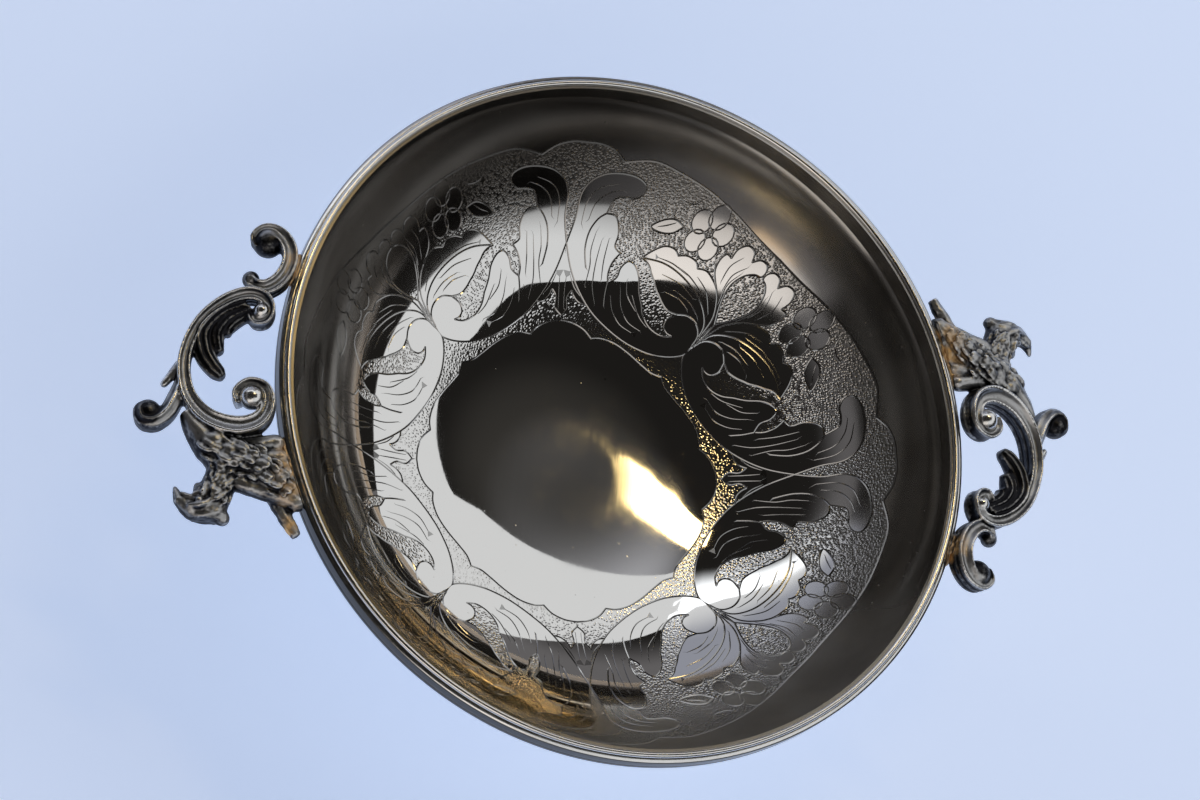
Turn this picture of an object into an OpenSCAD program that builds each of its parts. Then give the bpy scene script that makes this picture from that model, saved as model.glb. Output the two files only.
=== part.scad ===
// Round silver candy dish on a low foot, with a reeded rim and two cast handles.
// Millimetres. The origin is on the table under the middle of the dish, +Z is up,
// and +X runs through the handles.

/* [Bowl] */
// Diameter over the rim wire
rim_d = 120; // [110:1:140]
// Height from the table to the top of the rim
dish_h = 46; // [44:0.5:60]
// Depth of the hollow below the top of the rim
bowl_depth = 33; // [26:0.5:34]
// Thickness of the spun sheet
sheet_t = 1; // [0.8:0.1:1.6]
// Flatness of the bowl's floor
floor_flat = 3.4; // [2.6:0.1:4.4]
// Fullness of the bowl's side
side_full = 1.3; // [1.1:0.05:1.8]

/* [Rim wire] */
// Height of the rim wire
rim_h = 4; // [3.4:0.1:6]
// Width of the rim wire outside the sheet
rim_w = 1.3; // [1.2:0.1:2]
// Radius of the bead along the top of the wire
bead_r = 0.55; // [0.4:0.05:0.65]
// Depth of the groove beside the bead
groove_d = 0.5; // [0.2:0.05:0.7]

/* [Foot] */
// Outer radius of the foot's neck, under the bowl
neck_r = 22; // [18:0.5:26]
// Outer radius of the wire round the foot's lower edge
foot_r = 28; // [26:0.5:34]
// Thickness of the foot's sheet
foot_t = 1.2; // [0.8:0.1:2]
// Height of the wire round the foot's lower edge
foot_wire_h = 2.4; // [1.6:0.1:3.6]
// Width of the wire round the foot's lower edge
foot_wire_w = 3; // [2.4:0.1:4]
// Size of the solder fillet between the foot and the bowl
fillet = 0.9; // [0.5:0.1:1.4]

/* [Handles] */
// How far each handle stands out from the rim
handle_reach = 21.5; // [18:0.5:26]
// Angle by which the scrolls fall away from the rim
scroll_droop = 17; // [10:0.5:20]
// Height of the scrolls' middle at the rim, above the middle of the rim's outer face
scroll_rise = 2.2; // [1.4:0.1:2.6]
// Angle by which the bird falls away from the rim
bird_droop = 5; // [0:0.5:10]
// Height of the bird's middle at the rim, above the middle of the rim's outer face
bird_rise = 0.5; // [0:0.1:1]
// Height of the C-scroll's ribbon
ribbon_h = 4.6; // [3.6:0.1:5.4]
// Width of the C-scroll's ribbon
ribbon_w = 2; // [1.5:0.1:2.4]
// Depth of the channel along the ribbon's upper edge
channel_d = 0.5; // [0.2:0.05:0.8]
// Height of the bird's body
bird_h = 6.2; // [4.6:0.1:7]
// Thickness of the solder between each handle and the rim
solder_t = 0.4; // [0.2:0.05:0.8]
// Height of the solder seams, down from the top of the rim's outer face
seam_h = 1.9; // [1.4:0.1:2.4]
// Length along the rim of the seam behind the bird's wing
wing_seam = 10; // [6:0.5:12]
// Length along the rim of the seam behind the lower scroll
scroll_seam = 5; // [3:0.5:7]

/* [Hidden] */

$fn = 120;

silver = [0.78, 0.78, 0.77];
old_silver = [0.55, 0.54, 0.52];
solder_gold = [0.72, 0.56, 0.38];

// The rim
rim_r = rim_d / 2;
sheet_r = rim_r - rim_w;
rim_edge = 0.4;
rim_floor = dish_h - rim_h;
band_top = dish_h - bead_r;
// The upright outer face of the rim wire, which carries the handles
face_low = rim_floor + rim_edge;
face_high = band_top - rim_edge;

// The foot's seat is one straight stretch of the bowl's underside, so both pieces share it
seat_in_r = neck_r - foot_t - 1;
seat_out_r = neck_r + fillet + 1;
floor_steps = 4;
wall_steps = 22;

// Height on the bowl's curve, at radius r, of a bowl that meets the rim at radius a, depth d
function curve_z(r, a, d) = rim_floor - d * pow(max(0, 1 - pow(r / a, floor_flat)), 1 / side_full);

// Points of the bowl's curve from the axis out to the rim, with the foot's seat as one stretch
function curve(a, d) =
    let (
        share = a / sheet_r,
        near = [for (k = [0 : floor_steps]) share * seat_in_r * k / floor_steps],
        t0 = acos(pow(share * seat_out_r / a, floor_flat / 2)),
        far = [for (k = [0 : wall_steps]) a * pow(cos(t0 * (1 - k / wall_steps)), 2 / floor_flat)])
    [for (r = concat(near, far)) [r, curve_z(r, a, d)]];

// Height of the foot's seat at radius r
under_d = bowl_depth - rim_h + sheet_t;
seat_in_z = curve_z(seat_in_r, sheet_r, under_d);
seat_out_z = curve_z(seat_out_r, sheet_r, under_d);
function seat_z(r) =
    seat_in_z + (seat_out_z - seat_in_z) * (r - seat_in_r) / (seat_out_r - seat_in_r);

// Points on an arc about c, from angle a0 to angle a1
function arc(c, r, a0, a1, n) =
    [for (k = [0 : n]) let (a = a0 + (a1 - a0) * k / n) [c[0] + r * cos(a), c[1] + r * sin(a)]];

function reversed(p) = [for (k = [len(p) - 1 : -1 : 0]) p[k]];

module bowl() {
    inner = curve(sheet_r - sheet_t, bowl_depth - rim_h);
    outer = curve(sheet_r, under_d);
    edge = [[sheet_r, band_top], [sheet_r - sheet_t, band_top]];
    color(silver)
        rotate_extrude()
            polygon(concat(outer, edge, reversed(inner)));
}

// The wire's section sits on the sheet's edge with its bead and outside the sheet with its band
module rim_wire() {
    groove_r = sheet_r + bead_r;
    section = concat(
        [[sheet_r, rim_floor]],
        arc([rim_r - rim_edge, rim_floor + rim_edge], rim_edge, -90, 0, 5),
        arc([rim_r - rim_edge, band_top - rim_edge], rim_edge, 0, 90, 5),
        [[groove_r, band_top - groove_d]],
        arc([sheet_r, band_top], bead_r, 0, 180, 10),
        [[sheet_r, band_top]]);
    color(silver)
        rotate_extrude()
            polygon(section);
}

// Outer radius of the foot's flare, from its foot at 0 to its neck at 1
flare_r = foot_r - foot_wire_w / 2 + foot_t / 2;
flare_steps = 12;
function flare(s) = flare_r - (flare_r - neck_r) * sin(90 * s);

// One side of the foot's flare, set in from the outside and topped at the given height
function flare_line(inset, top_z) =
    [for (k = [0 : flare_steps])
        [flare(k / flare_steps) - inset, foot_wire_h + (top_z - foot_wire_h) * k / flare_steps]];

module foot_collar() {
    outer = flare_line(0, seat_z(neck_r));
    inner = flare_line(foot_t, seat_z(neck_r - foot_t));
    color(silver)
        rotate_extrude()
            polygon(concat(outer, reversed(inner)));
}

module foot_wire() {
    round_r = foot_wire_h / 2;
    section = concat(
        [[foot_r - foot_wire_w, 0]],
        arc([foot_r - round_r, round_r], round_r, -90, 90, 12),
        [[foot_r - foot_wire_w, foot_wire_h]]);
    color(silver)
        rotate_extrude()
            polygon(section);
}

// The fillet lies on the bowl's underside and hugs the top of the foot's neck
module foot_solder() {
    neck = flare_line(0, seat_z(neck_r));
    spread_r = neck_r + fillet;
    color(solder_gold)
        rotate_extrude()
            polygon([neck[flare_steps], neck[flare_steps - 1], [spread_r, seat_z(spread_r)]]);
}

// Smooth curve through stations, with a few steps between each two of them
function smooth_at(p, k, f) =
    let (
        a = p[max(k - 1, 0)],
        b = p[k],
        c = p[k + 1],
        d = p[min(k + 2, len(p) - 1)])
    0.5 * (2 * b + (c - a) * f + (2 * a - 5 * b + 4 * c - d) * f * f
        + (3 * b - a - 3 * c + d) * f * f * f);
function smooth(p, steps) =
    concat(
        [for (k = [0 : len(p) - 2], i = [0 : steps - 1]) smooth_at(p, k, i / steps)],
        [p[len(p) - 1]]);

// Sections across a swept limb, as shares of half its width and half its height
oval_sides = 12;
oval = [for (k = [0 : oval_sides - 1]) let (a = 360 * k / oval_sides) [cos(a), sin(a)]];
channelled =
    let (low = 1 - 2 * channel_d / ribbon_h)
    [[1, -0.7], [1, 0.7], [0.75, 1], [0.4, 1], [0, low], [-0.4, 1], [-0.75, 1],
        [-1, 0.7], [-1, -0.7], [-0.7, -1], [0.7, -1]];

// One limb of the casting. Each station is [x, y, z, width, height], in the casting's plane
module limb(stations, section, steps) {
    path = smooth(stations, steps);
    last = len(path) - 1;
    sides = len(section);
    points = [for (k = [0 : last])
        let (
            p = path[k],
            along = path[min(k + 1, last)] - path[max(k - 1, 0)],
            len_xy = norm([along[0], along[1]]),
            across = [along[1], -along[0]] / len_xy)
        for (s = section)
            [p[0] + across[0] * s[0] * p[3] / 2, p[1] + across[1] * s[0] * p[3] / 2,
                p[2] + s[1] * p[4] / 2]];
    skin = [for (k = [0 : last - 1], j = [0 : sides - 1])
        let (n = (j + 1) % sides)
        [k * sides + j, k * sides + n, (k + 1) * sides + n, (k + 1) * sides + j]];
    first_cap = [for (j = [sides - 1 : -1 : 0]) j];
    last_cap = [for (j = [0 : sides - 1]) last * sides + j];
    polyhedron(points = points, faces = concat(skin, [first_cap, last_cap]), convexity = 8);
}

// A rounded spur between two balls, each [x, y, z, radius]
module spur(a, b) {
    hull()
        for (s = [a, b])
            translate([s[0], s[1], s[2]])
                sphere(r = s[3], $fn = 10);
}

module ball(x, y, z, r) {
    translate([x, y, z])
        sphere(r = r, $fn = 14);
}

// The casting's stations are measured outward from the rim, along it and up from its seat.
// They are drawn for a reach of 21.5
plan = handle_reach / 21.5;
w = ribbon_w / plan;
h = ribbon_h / plan;
bh = bird_h / plan;

module c_scroll() {
    upper_volute = [[5.4, 13.2, 0, 0.8 * w, 0.8 * h], [5.9, 11.5, 0, 0.95 * w, 0.85 * h],
        [4.2, 9.9, 0, 1.05 * w, 0.9 * h], [1.9, 10.4, 0, 1.1 * w, 0.9 * h],
        [0.9, 12.8, 0, 1.25 * w, 0.95 * h]];
    arch = [[2, 15.8, 0, 1.5 * w, h], [5.4, 17.2, 0, 1.65 * w, h], [10, 16.2, 0, 1.5 * w, h],
        [13.4, 13, 0, 1.25 * w, h], [14.9, 8.4, 0, 1.1 * w, h], [14.7, 4, 0, w, h],
        [13, -0.4, 0, w, h], [9.8, -3.9, 0, 1.05 * w, h], [6.4, -5.6, 0, 1.1 * w, h]];
    lower_volute = [[3.8, -5.3, 0, 1.1 * w, 0.9 * h], [2.6, -3.5, 0, 1.05 * w, 0.85 * h],
        [3, -1.6, 0, 0.95 * w, 0.85 * h], [4.6, -1.2, 0, 0.85 * w, 0.8 * h],
        [5.4, -2.4, 0, 0.75 * w, 0.75 * h]];
    limb(concat(upper_volute, arch, lower_volute), channelled, 3);
    ball(3.6, 12.1, 0.5, 1.5);
    ball(3.8, -3.1, 0.7, 1.35);
}

// The leaf's lobes spring from the lower volute and fan out inside the C-scroll
module leaf() {
    limb([[6.5, -4.2, -0.2, 2.2, 0.75 * h], [10, -2.2, -0.2, 3.2, 0.9 * h],
        [12.6, 1.4, -0.2, 3.8, 0.95 * h], [12.1, 4.8, -0.3, 3.6, 0.9 * h],
        [10.6, 7, -0.5, 3, 0.8 * h], [9.4, 8, -0.7, 2.5, 0.7 * h],
        [8.7, 8.6, -0.8, 1.4, 0.5 * h]], oval, 3);
    limb([[5.6, -3.5, -0.2, 1.8, 0.65 * h], [8.8, -1.5, -0.3, 2.6, 0.8 * h],
        [10.5, 1.2, -0.4, 2.8, 0.8 * h], [10.2, 3.4, -0.5, 2.4, 0.7 * h],
        [9.5, 4.5, -0.6, 1.4, 0.5 * h]], oval, 3);
    limb([[5.2, -2.8, -0.3, 1.5, 0.55 * h], [7.6, -1.2, -0.4, 2.1, 0.7 * h],
        [8.8, 0.3, -0.5, 1.9, 0.65 * h], [8.7, 1.4, -0.6, 1.1, 0.45 * h]], oval, 3);
}

// A curling leaf on the outside of the C-scroll, with a thorn below it
module outer_curl() {
    limb([[15, 9.2, 0, 1.6, 0.65 * h], [15.6, 13, 0, 2.7, h], [16.7, 16, 0, 2.8, 1.1 * h],
        [18.5, 17.7, 0, 2.7, 1.15 * h], [20.5, 17.6, 0, 2.6, 1.15 * h],
        [21.1, 16.1, 0, 2.4, 1.05 * h], [20.6, 15.1, 0, 1.7, 0.9 * h]], oval, 3);
    ball(20.2, 16, 0, 1.7);
    spur([15.7, 7.4, 0, 0.9], [17.7, 10.8, 0, 0.55]);
}

module lower_scroll() {
    limb([[6.5, -8.6, 0, 0.9 * w, 0.65 * h], [5.4, -7.3, 0, 1.1 * w, 0.85 * h],
        [3.4, -7.2, -0.1, 1.25 * w, 0.9 * h], [1.4, -8.9, -0.2, 1.3 * w, 0.95 * h],
        [0.3, -11.7, -0.2, 1.3 * w, 0.95 * h], [0.6, -14.4, -0.2, 1.35 * w, 0.95 * h],
        [2.2, -16.6, -0.1, 1.35 * w, 0.9 * h], [4.5, -17.2, 0, 1.3 * w, 0.9 * h],
        [6.1, -15.9, 0, 1.15 * w, 0.85 * h], [5.4, -14.6, 0, 0.9 * w, 0.75 * h]], channelled, 3);
    ball(4.2, -15.6, -0.1, 2);
    ball(6.2, -8.6, 0.1, 1.35);
}

// The bird lies along the top of the C-scroll with its wing against the rim
module bird() {
    limb([[13.6, 15.6, -0.9, 1.6, 0.5 * bh], [12, 17.6, -1.1, 3.4, 0.7 * bh],
        [9, 20, -1.3, 5.8, 0.9 * bh], [5.4, 21.8, -1.3, 7.2, bh], [1.2, 22.6, -1.1, 7.6, 0.9 * bh],
        [-2.6, 23.3, -0.9, 7.4, 0.75 * bh], [-6.2, 24, -0.7, 7.2, 0.65 * bh]], oval, 3);
    limb([[6, 22.2, -1.3, 5.6, 0.85 * bh], [6.4, 25.8, -1.6, 5.4, 0.8 * bh],
        [7.3, 28.8, -1.8, 6, 0.8 * bh], [7.9, 31.2, -2, 6.2, 0.75 * bh],
        [7.9, 32.7, -2, 5.2, 0.6 * bh]], oval, 3);
    spur([6.6, 30.9, -1.8, 1.9], [5.3, 31.9, -1.8, 1.3]);
    beak_bend = [12.3, 30.1, -1.8, 1.15];
    spur([10.2, 31.2, -1.9, 1.8], beak_bend);
    spur(beak_bend, [13.4, 28.1, -1.9, 0.4]);
    spur([9.1, 28.8, -1.9, 1.5], [9.7, 27.2, -1.9, 0.8]);
    limb([[-1.4, 26.2, -1.1, 2.2, 2.6], [-3.4, 28.8, -1.1, 2.3, 2.4], [-5.5, 31.4, -1.1, 2.2, 2.3],
        [-6.8, 33, -1.1, 1.6, 1.8]], oval, 3);
    feathers = 5;
    for (k = [0 : feathers - 1])
        spur([3.4, 20 + 1.5 * k, -0.3, 1.6], [-1.4 - 1.15 * k, 18.4 + 2.35 * k, 0, 1.5]);
}

// Places part of the casting at the right-hand seat, raised above the rim's face, with its fall
module at_seat(rise, droop) {
    translate([rim_r, 0, (face_low + face_high) / 2 + rise])
        rotate([0, droop, 0])
            scale(plan)
                children();
}

// The casting's back is cut to the rim's curve, clear of it by the solder
module casting() {
    difference() {
        union() {
            at_seat(scroll_rise, scroll_droop) {
                c_scroll();
                leaf();
                outer_curl();
                lower_scroll();
            }
            at_seat(bird_rise, bird_droop)
                bird();
        }
        cylinder(h = 2 * dish_h, r = rim_r + solder_t, $fn = 180);
    }
}

// Solder between the rim's outer face and the casting, about a place along the rim
module seam(along, length) {
    turn = length / rim_r * 180 / PI;
    mid_angle = asin(along / rim_r);
    rotate([0, 0, mid_angle - turn / 2])
        rotate_extrude(angle = turn)
            translate([rim_r, face_high - seam_h])
                square([solder_t, seam_h]);
}

wing_along = 22.4 * plan;
scroll_along = -12 * plan;
half_turn = 180;

module handle_right() {
    color(old_silver)
        casting();
}

module handle_left() {
    color(old_silver)
        rotate([0, 0, half_turn])
            casting();
}

module solder_right_bird() {
    color(solder_gold)
        seam(wing_along, wing_seam);
}

module solder_right_scroll() {
    color(solder_gold)
        seam(scroll_along, scroll_seam);
}

module solder_left_bird() {
    color(solder_gold)
        rotate([0, 0, half_turn])
            seam(wing_along, wing_seam);
}

module solder_left_scroll() {
    color(solder_gold)
        rotate([0, 0, half_turn])
            seam(scroll_along, scroll_seam);
}

bowl();
rim_wire();
foot_collar();
foot_wire();
foot_solder();
handle_right();
handle_left();
solder_right_bird();
solder_right_scroll();
solder_left_bird();
solder_left_scroll();
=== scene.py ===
"""A round silver candy dish, engraved inside, with two cast scroll-and-bird handles.

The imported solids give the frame. Each piece here is modelled in that frame and takes the place
of its solid.
"""
import functools
import math

import bmesh
import bpy
import numpy as np
from mathutils import Euler, Matrix, Vector, geometry, noise


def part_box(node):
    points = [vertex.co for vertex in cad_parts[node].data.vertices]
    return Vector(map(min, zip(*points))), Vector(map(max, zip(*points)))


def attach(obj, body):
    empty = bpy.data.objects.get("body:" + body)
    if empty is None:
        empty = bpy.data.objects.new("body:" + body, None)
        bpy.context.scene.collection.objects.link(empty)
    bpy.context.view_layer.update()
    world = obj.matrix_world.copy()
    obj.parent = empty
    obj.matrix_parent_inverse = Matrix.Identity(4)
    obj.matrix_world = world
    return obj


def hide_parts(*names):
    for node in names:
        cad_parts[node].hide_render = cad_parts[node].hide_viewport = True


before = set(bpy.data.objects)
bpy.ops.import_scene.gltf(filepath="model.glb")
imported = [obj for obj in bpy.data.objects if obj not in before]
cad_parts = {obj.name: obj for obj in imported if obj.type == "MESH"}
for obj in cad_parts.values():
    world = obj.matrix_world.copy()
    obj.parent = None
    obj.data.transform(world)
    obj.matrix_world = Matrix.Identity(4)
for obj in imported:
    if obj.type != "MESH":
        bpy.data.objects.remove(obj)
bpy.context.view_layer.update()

bl_info = {
    "name": "Candy dish",
    "version": (1, 0, 0),
    "blender": (4, 5, 0),
    "location": "3D View > Sidebar > Candy dish",
    "description": "Engraved silver dish with a reeded rim, a low foot and two cast handles",
    "category": "Object",
}

MM = 0.001
RIM_LOW, RIM_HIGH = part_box("rim_wire")
FOOT_LOW, FOOT_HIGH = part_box("foot_wire")


length = functools.partial(bpy.props.FloatProperty, unit="LENGTH", subtype="DISTANCE")
angle = functools.partial(bpy.props.FloatProperty, subtype="ANGLE")
paint = functools.partial(bpy.props.FloatVectorProperty, subtype="COLOR", min=0, max=1)


class DishSizes(bpy.types.PropertyGroup):
    """Sizes of the bowl, the rim, the foot and the handles."""

    rim_radius: length(
        name="Rim radius", description="Radius over the rim wire", default=RIM_HIGH[0])
    height: length(
        name="Height", description="From the table to the top of the rim", default=RIM_HIGH[2])
    depth: length(
        name="Depth", description="Depth of the hollow below the top of the rim", default=0.033)
    sheet: length(name="Sheet", description="Thickness of the bowl's sheet", default=0.001)
    flatness: bpy.props.FloatProperty(
        name="Flatness", description="How flat the bowl's floor is", default=3.4)
    fullness: bpy.props.FloatProperty(
        name="Fullness", description="How full the bowl's side is", default=1.3)
    rim_height: length(
        name="Rim height", description="Height of the rim wire", default=RIM_HIGH[2] - RIM_LOW[2])
    rim_width: length(
        name="Rim width", description="Width of the rim wire outside the sheet", default=0.0013)
    bead_radius: length(
        name="Bead radius", description="Radius of the bead along the top of the rim",
        default=0.00055)
    neck_radius: length(
        name="Neck radius", description="Outer radius of the foot under the bowl", default=0.022)
    foot_radius: length(
        name="Foot radius", description="Outer radius of the wire round the foot's edge",
        default=FOOT_HIGH[0])
    foot_sheet: length(
        name="Foot sheet", description="Thickness of the foot's sheet", default=0.0012)
    foot_wire_height: length(
        name="Foot wire height", description="Height of the wire round the foot's edge",
        default=FOOT_HIGH[2] - FOOT_LOW[2])
    foot_wire_width: length(
        name="Foot wire width", description="Width of the wire round the foot's edge",
        default=0.003)
    scroll_droop: angle(
        name="Scroll droop", description="Angle by which the scrolls fall away from the rim",
        default=math.radians(17))
    scroll_rise: length(
        name="Scroll rise",
        description="Height of the scrolls' middle over the middle of the rim's face",
        default=0.0022)
    bird_droop: angle(
        name="Bird droop", description="Angle by which the bird falls away from the rim",
        default=math.radians(5))
    bird_rise: length(
        name="Bird rise",
        description="Height of the bird's middle over the middle of the rim's face",
        default=0.0005)
    solder: length(
        name="Solder", description="Thickness of the solder between a handle and the rim",
        default=0.0004)


class EngravingSizes(bpy.types.PropertyGroup):
    """Cut of the engraved pattern inside the bowl."""

    turn: angle(
        name="Turn", description="Angle from the handles' axis to the pattern's axis",
        default=math.radians(8.4))
    outline_width: length(
        name="Outline width", description="Width of the cuts round the leaves", default=0.0003)
    vein_width: length(
        name="Vein width", description="Width of the cuts inside the leaves", default=0.00021)
    cut_depth: length(
        name="Cut depth", description="Depth of the widest cut", default=0.00008)
    stipple: length(
        name="Stipple", description="Distance between the punch marks of the ground",
        default=0.00045)


class DishColours(bpy.types.PropertyGroup):
    """Colours of the metal and of the floor."""

    silver: paint(
        name="Silver", description="Clean polished silver", default=(0.9, 0.885, 0.86))
    tarnish: paint(
        name="Tarnish", description="Thin brown film on the silver", default=(0.27, 0.25, 0.23))
    oxide: paint(
        name="Oxide", description="Black oxide in the hollows of the castings",
        default=(0.022, 0.022, 0.026))
    cast: paint(
        name="Cast silver", description="Grey silver of the castings",
        default=(0.52, 0.515, 0.51))
    solder: paint(name="Solder", description="Gold-brown solder", default=(0.8, 0.53, 0.26))
    floor: paint(
        name="Floor", description="Pale paper under the dish", default=(0.9, 0.92, 0.95))


def sizes():
    return bpy.context.scene.dish_sizes


def engraving():
    return bpy.context.scene.dish_engraving


def colours():
    return bpy.context.scene.dish_colours


# Curves

def smooth(stations, step):
    """A smooth curve through stations, with points about one step apart."""
    p = np.array(stations, float)
    path = []
    for k in range(len(p) - 1):
        a, b, c, d = p[max(k - 1, 0)], p[k], p[k + 1], p[min(k + 2, len(p) - 1)]
        count = max(2, math.ceil(np.linalg.norm((c - b)[:2]) / step))
        for i in range(count):
            f = i / count
            path.append(0.5 * (2 * b + (c - a) * f + (2 * a - 5 * b + 4 * c - d) * f * f
                               + (3 * b - a - 3 * c + d) * f ** 3))
    path.append(p[-1])
    return np.array(path)


def arc(centre, radius, start, end, count):
    """Points on an arc, with angles in degrees."""
    angles = np.radians(np.linspace(start, end, count + 1))
    return [(centre[0] + radius * math.cos(a), centre[1] + radius * math.sin(a)) for a in angles]


def bowl_height(radius, reach, depth):
    s = sizes()
    share = np.minimum(np.abs(radius) / reach, 1.0) ** s.flatness
    return s.height - s.rim_height - depth * (1 - share) ** (1 / s.fullness)


def bowl_slope(radius, reach, depth):
    s = sizes()
    share = np.minimum(np.abs(radius) / reach, 0.99999) ** s.flatness
    return (depth * s.flatness / s.fullness * (1 - share) ** (1 / s.fullness - 1)
            * np.maximum(share, 1e-12) / np.maximum(np.abs(radius), 1e-9))


def inner_curve():
    """Reach and depth of the bowl's inner curve below the rim wire's foot."""
    s = sizes()
    return s.rim_radius - s.rim_width - s.sheet, s.depth - s.rim_height


def outer_curve():
    s = sizes()
    reach, depth = inner_curve()
    return reach + s.sheet, depth + s.sheet


# Meshes

def spun(bm, profile, steps, closed=False):
    """Turns a profile of radius and height round the dish's axis."""
    verts = [bm.verts.new((r, 0, z)) for r, z in profile]
    pairs = list(zip(verts, verts[1:]))
    if closed:
        pairs.append((verts[-1], verts[0]))
    edges = [bm.edges.new(pair) for pair in pairs]
    bmesh.ops.spin(bm, geom=verts + edges, cent=(0, 0, 0), axis=(0, 0, 1),
                   angle=2 * math.pi, steps=steps, use_merge=True)


def spun_piece(name, profile, steps):
    """A ring of the closed profile."""
    bm = bmesh.new()
    spun(bm, profile, steps, closed=True)
    bmesh.ops.remove_doubles(bm, verts=bm.verts[:], dist=1e-7)
    bmesh.ops.recalc_face_normals(bm, faces=bm.faces[:])
    return piece_from(bm, name)


SHARP = math.radians(40)


def piece_from(bm, name):
    """A smooth-shaded object of the mesh, with its sharp edges kept."""
    mesh = bpy.data.meshes.new(name)
    bm.to_mesh(mesh)
    bm.free()
    mesh.shade_smooth()
    mesh.set_sharp_from_angle(angle=SHARP)
    piece = bpy.data.objects.new(name, mesh)
    bpy.context.scene.collection.objects.link(piece)
    return piece


def lofted(bm, rings):
    """Joins rings of points one to the next, and closes both ends."""
    last = None
    for k, ring in enumerate(rings):
        verts = bmesh.ops.create_circle(bm, segments=len(ring), radius=1)["verts"]
        for vert, spot in zip(verts, ring):
            vert.co = spot
        edges = list(dict.fromkeys(e for vert in verts for e in vert.link_edges))
        if last is None or k == len(rings) - 1:
            bmesh.ops.contextual_create(bm, geom=edges)
        if last is not None:
            bmesh.ops.bridge_loops(bm, edges=last + edges)
        last = edges


def fetched(items, key, width=1, kind=float):
    """One value of every item as an array, in rows where it has more than one part."""
    values = np.empty(len(items) * width, kind)
    items.foreach_get(key, values)
    return values.reshape(-1, width) if width > 1 else values


def place(piece, node, slot, material):
    """Hides the solid the piece stands for, hangs the piece on the root body, and gives it its
    finish.
    """
    piece.data.materials.clear()
    piece.data.materials.append(material)
    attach(piece, "root")
    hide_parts(node)


# Shader nodes

class Wire:
    """A node socket on which sums can be written."""

    def __init__(self, tree, socket=None):
        self.tree = tree
        self.socket = socket

    def node(self, kind, settings=None, sockets=None, out=0):
        new = self.tree.nodes.new(kind)
        for key, value in (settings or {}).items():
            setattr(new, key, value)
        for key, value in (sockets or {}).items():
            if isinstance(value, Wire):
                self.tree.links.new(value.socket, new.inputs[key])
            else:
                new.inputs[key].default_value = value
        return Wire(self.tree, new.outputs[out])

    def maths(self, operation, first, second):
        return self.node("ShaderNodeMath", {"operation": operation}, {0: first, 1: second})

    def __add__(self, other):
        return self.maths("ADD", self, other)

    def __radd__(self, other):
        return self.maths("ADD", other, self)

    def __sub__(self, other):
        return self.maths("SUBTRACT", self, other)

    def __rsub__(self, other):
        return self.maths("SUBTRACT", other, self)

    def __mul__(self, other):
        return self.maths("MULTIPLY", self, other)

    def __rmul__(self, other):
        return self.maths("MULTIPLY", other, self)

    def __truediv__(self, other):
        return self.maths("DIVIDE", self, other)

    def step(self, low, high):
        """0 below low, 1 above high, and a smooth rise between."""
        return self.node("ShaderNodeMapRange", {"interpolation_type": "SMOOTHSTEP"},
                         {"Value": self, "From Min": low, "From Max": high})

    def mix(self, first, second):
        """The first colour where this is 0 and the second where it is 1."""
        return self.node("ShaderNodeMix", {"data_type": "RGBA"},
                         {0: self, 6: tint(first), 7: tint(second)}, out=2)


def tint(colour):
    """A colour as a shader socket takes it."""
    return colour if isinstance(colour, Wire) else (*colour[:3], 1.0)


class Finish:
    """A finish that is being put together on one material."""

    def __init__(self, name, metal=1.0):
        self.material = bpy.data.materials.new(name)
        self.material.use_nodes = True
        self.tree = self.material.node_tree
        self.shader = self.tree.nodes["Principled BSDF"]
        self.shader.inputs["Metallic"].default_value = metal
        self.start = Wire(self.tree)
        self.place = self.start.node("ShaderNodeTexCoord", out="Object")

    def attribute(self, name):
        return self.start.node("ShaderNodeAttribute", {"attribute_name": name}, out="Fac")

    def stretched(self, scale):
        return self.start.node("ShaderNodeMapping", None, {"Vector": self.place, "Scale": scale})

    def noise(self, size, detail, place=None):
        return self.start.node("ShaderNodeTexNoise", None, {
            "Vector": place or self.place, "Scale": 1 / size, "Detail": detail})

    def cells(self, size):
        """Distance from the nearest of many scattered points, in shares of their spacing."""
        return self.start.node("ShaderNodeTexVoronoi", None, {
            "Vector": self.place, "Scale": 1 / size}, out="Distance")

    def vector(self, operation, first, second=(0, 0, 0), out="Value"):
        return self.start.node("ShaderNodeVectorMath", {"operation": operation},
                               {0: first, 1: second}, out=out)

    def axis_distance(self):
        """Distance from the dish's upright axis."""
        return self.vector("LENGTH", self.vector("MULTIPLY", self.place, (1, 1, 0), "Vector"))

    def along(self, direction):
        """Distance from the dish's middle along a direction."""
        return self.vector("DOT_PRODUCT", self.place, direction)

    def bump(self, height, distance, strength, below=None):
        sockets = {"Strength": strength, "Distance": distance, "Height": height}
        if below is not None:
            sockets["Normal"] = below
        return self.start.node("ShaderNodeBump", None, sockets)

    def feed(self, **sockets):
        for key, value in sockets.items():
            socket = self.shader.inputs[key.replace("_", " ")]
            if isinstance(value, Wire):
                self.tree.links.new(value.socket, socket)
            else:
                socket.default_value = value
        return self.material


# Where one look of the bowl's inside gives way to the next: radii in metres, from and to
DEEPER_GROUND = (0.029, 0.038)
STEEP_GROUND = (0.036, 0.044)
WORN_GROUND = (0.036, 0.041)
TURNING_MARKS = (0.037, 0.043)
CALM_MARKS = (0.038, 0.042)
HAZY = (0.0385, 0.0415)
# Radii where the painted gold reflection of the warm tube comes in and goes out
GOLD_REFLECTION_FROM, GOLD_REFLECTION_TO = (0.0395, 0.0425), (0.047, 0.053)
# Radii where the painted shade on the left wall comes in
SHADED_WALL = (0.04, 0.048)
# Radii of the rubbed lower right wall, whose cuts are painted lighter
RUBBED_LIT_WALL = (0.042, 0.047)
WALL = (0.043, 0.056)
# Heights on the outside between which the painted shade under the rim begins
SHADE_UNDER_RIM = (0.031, 0.041)
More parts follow.
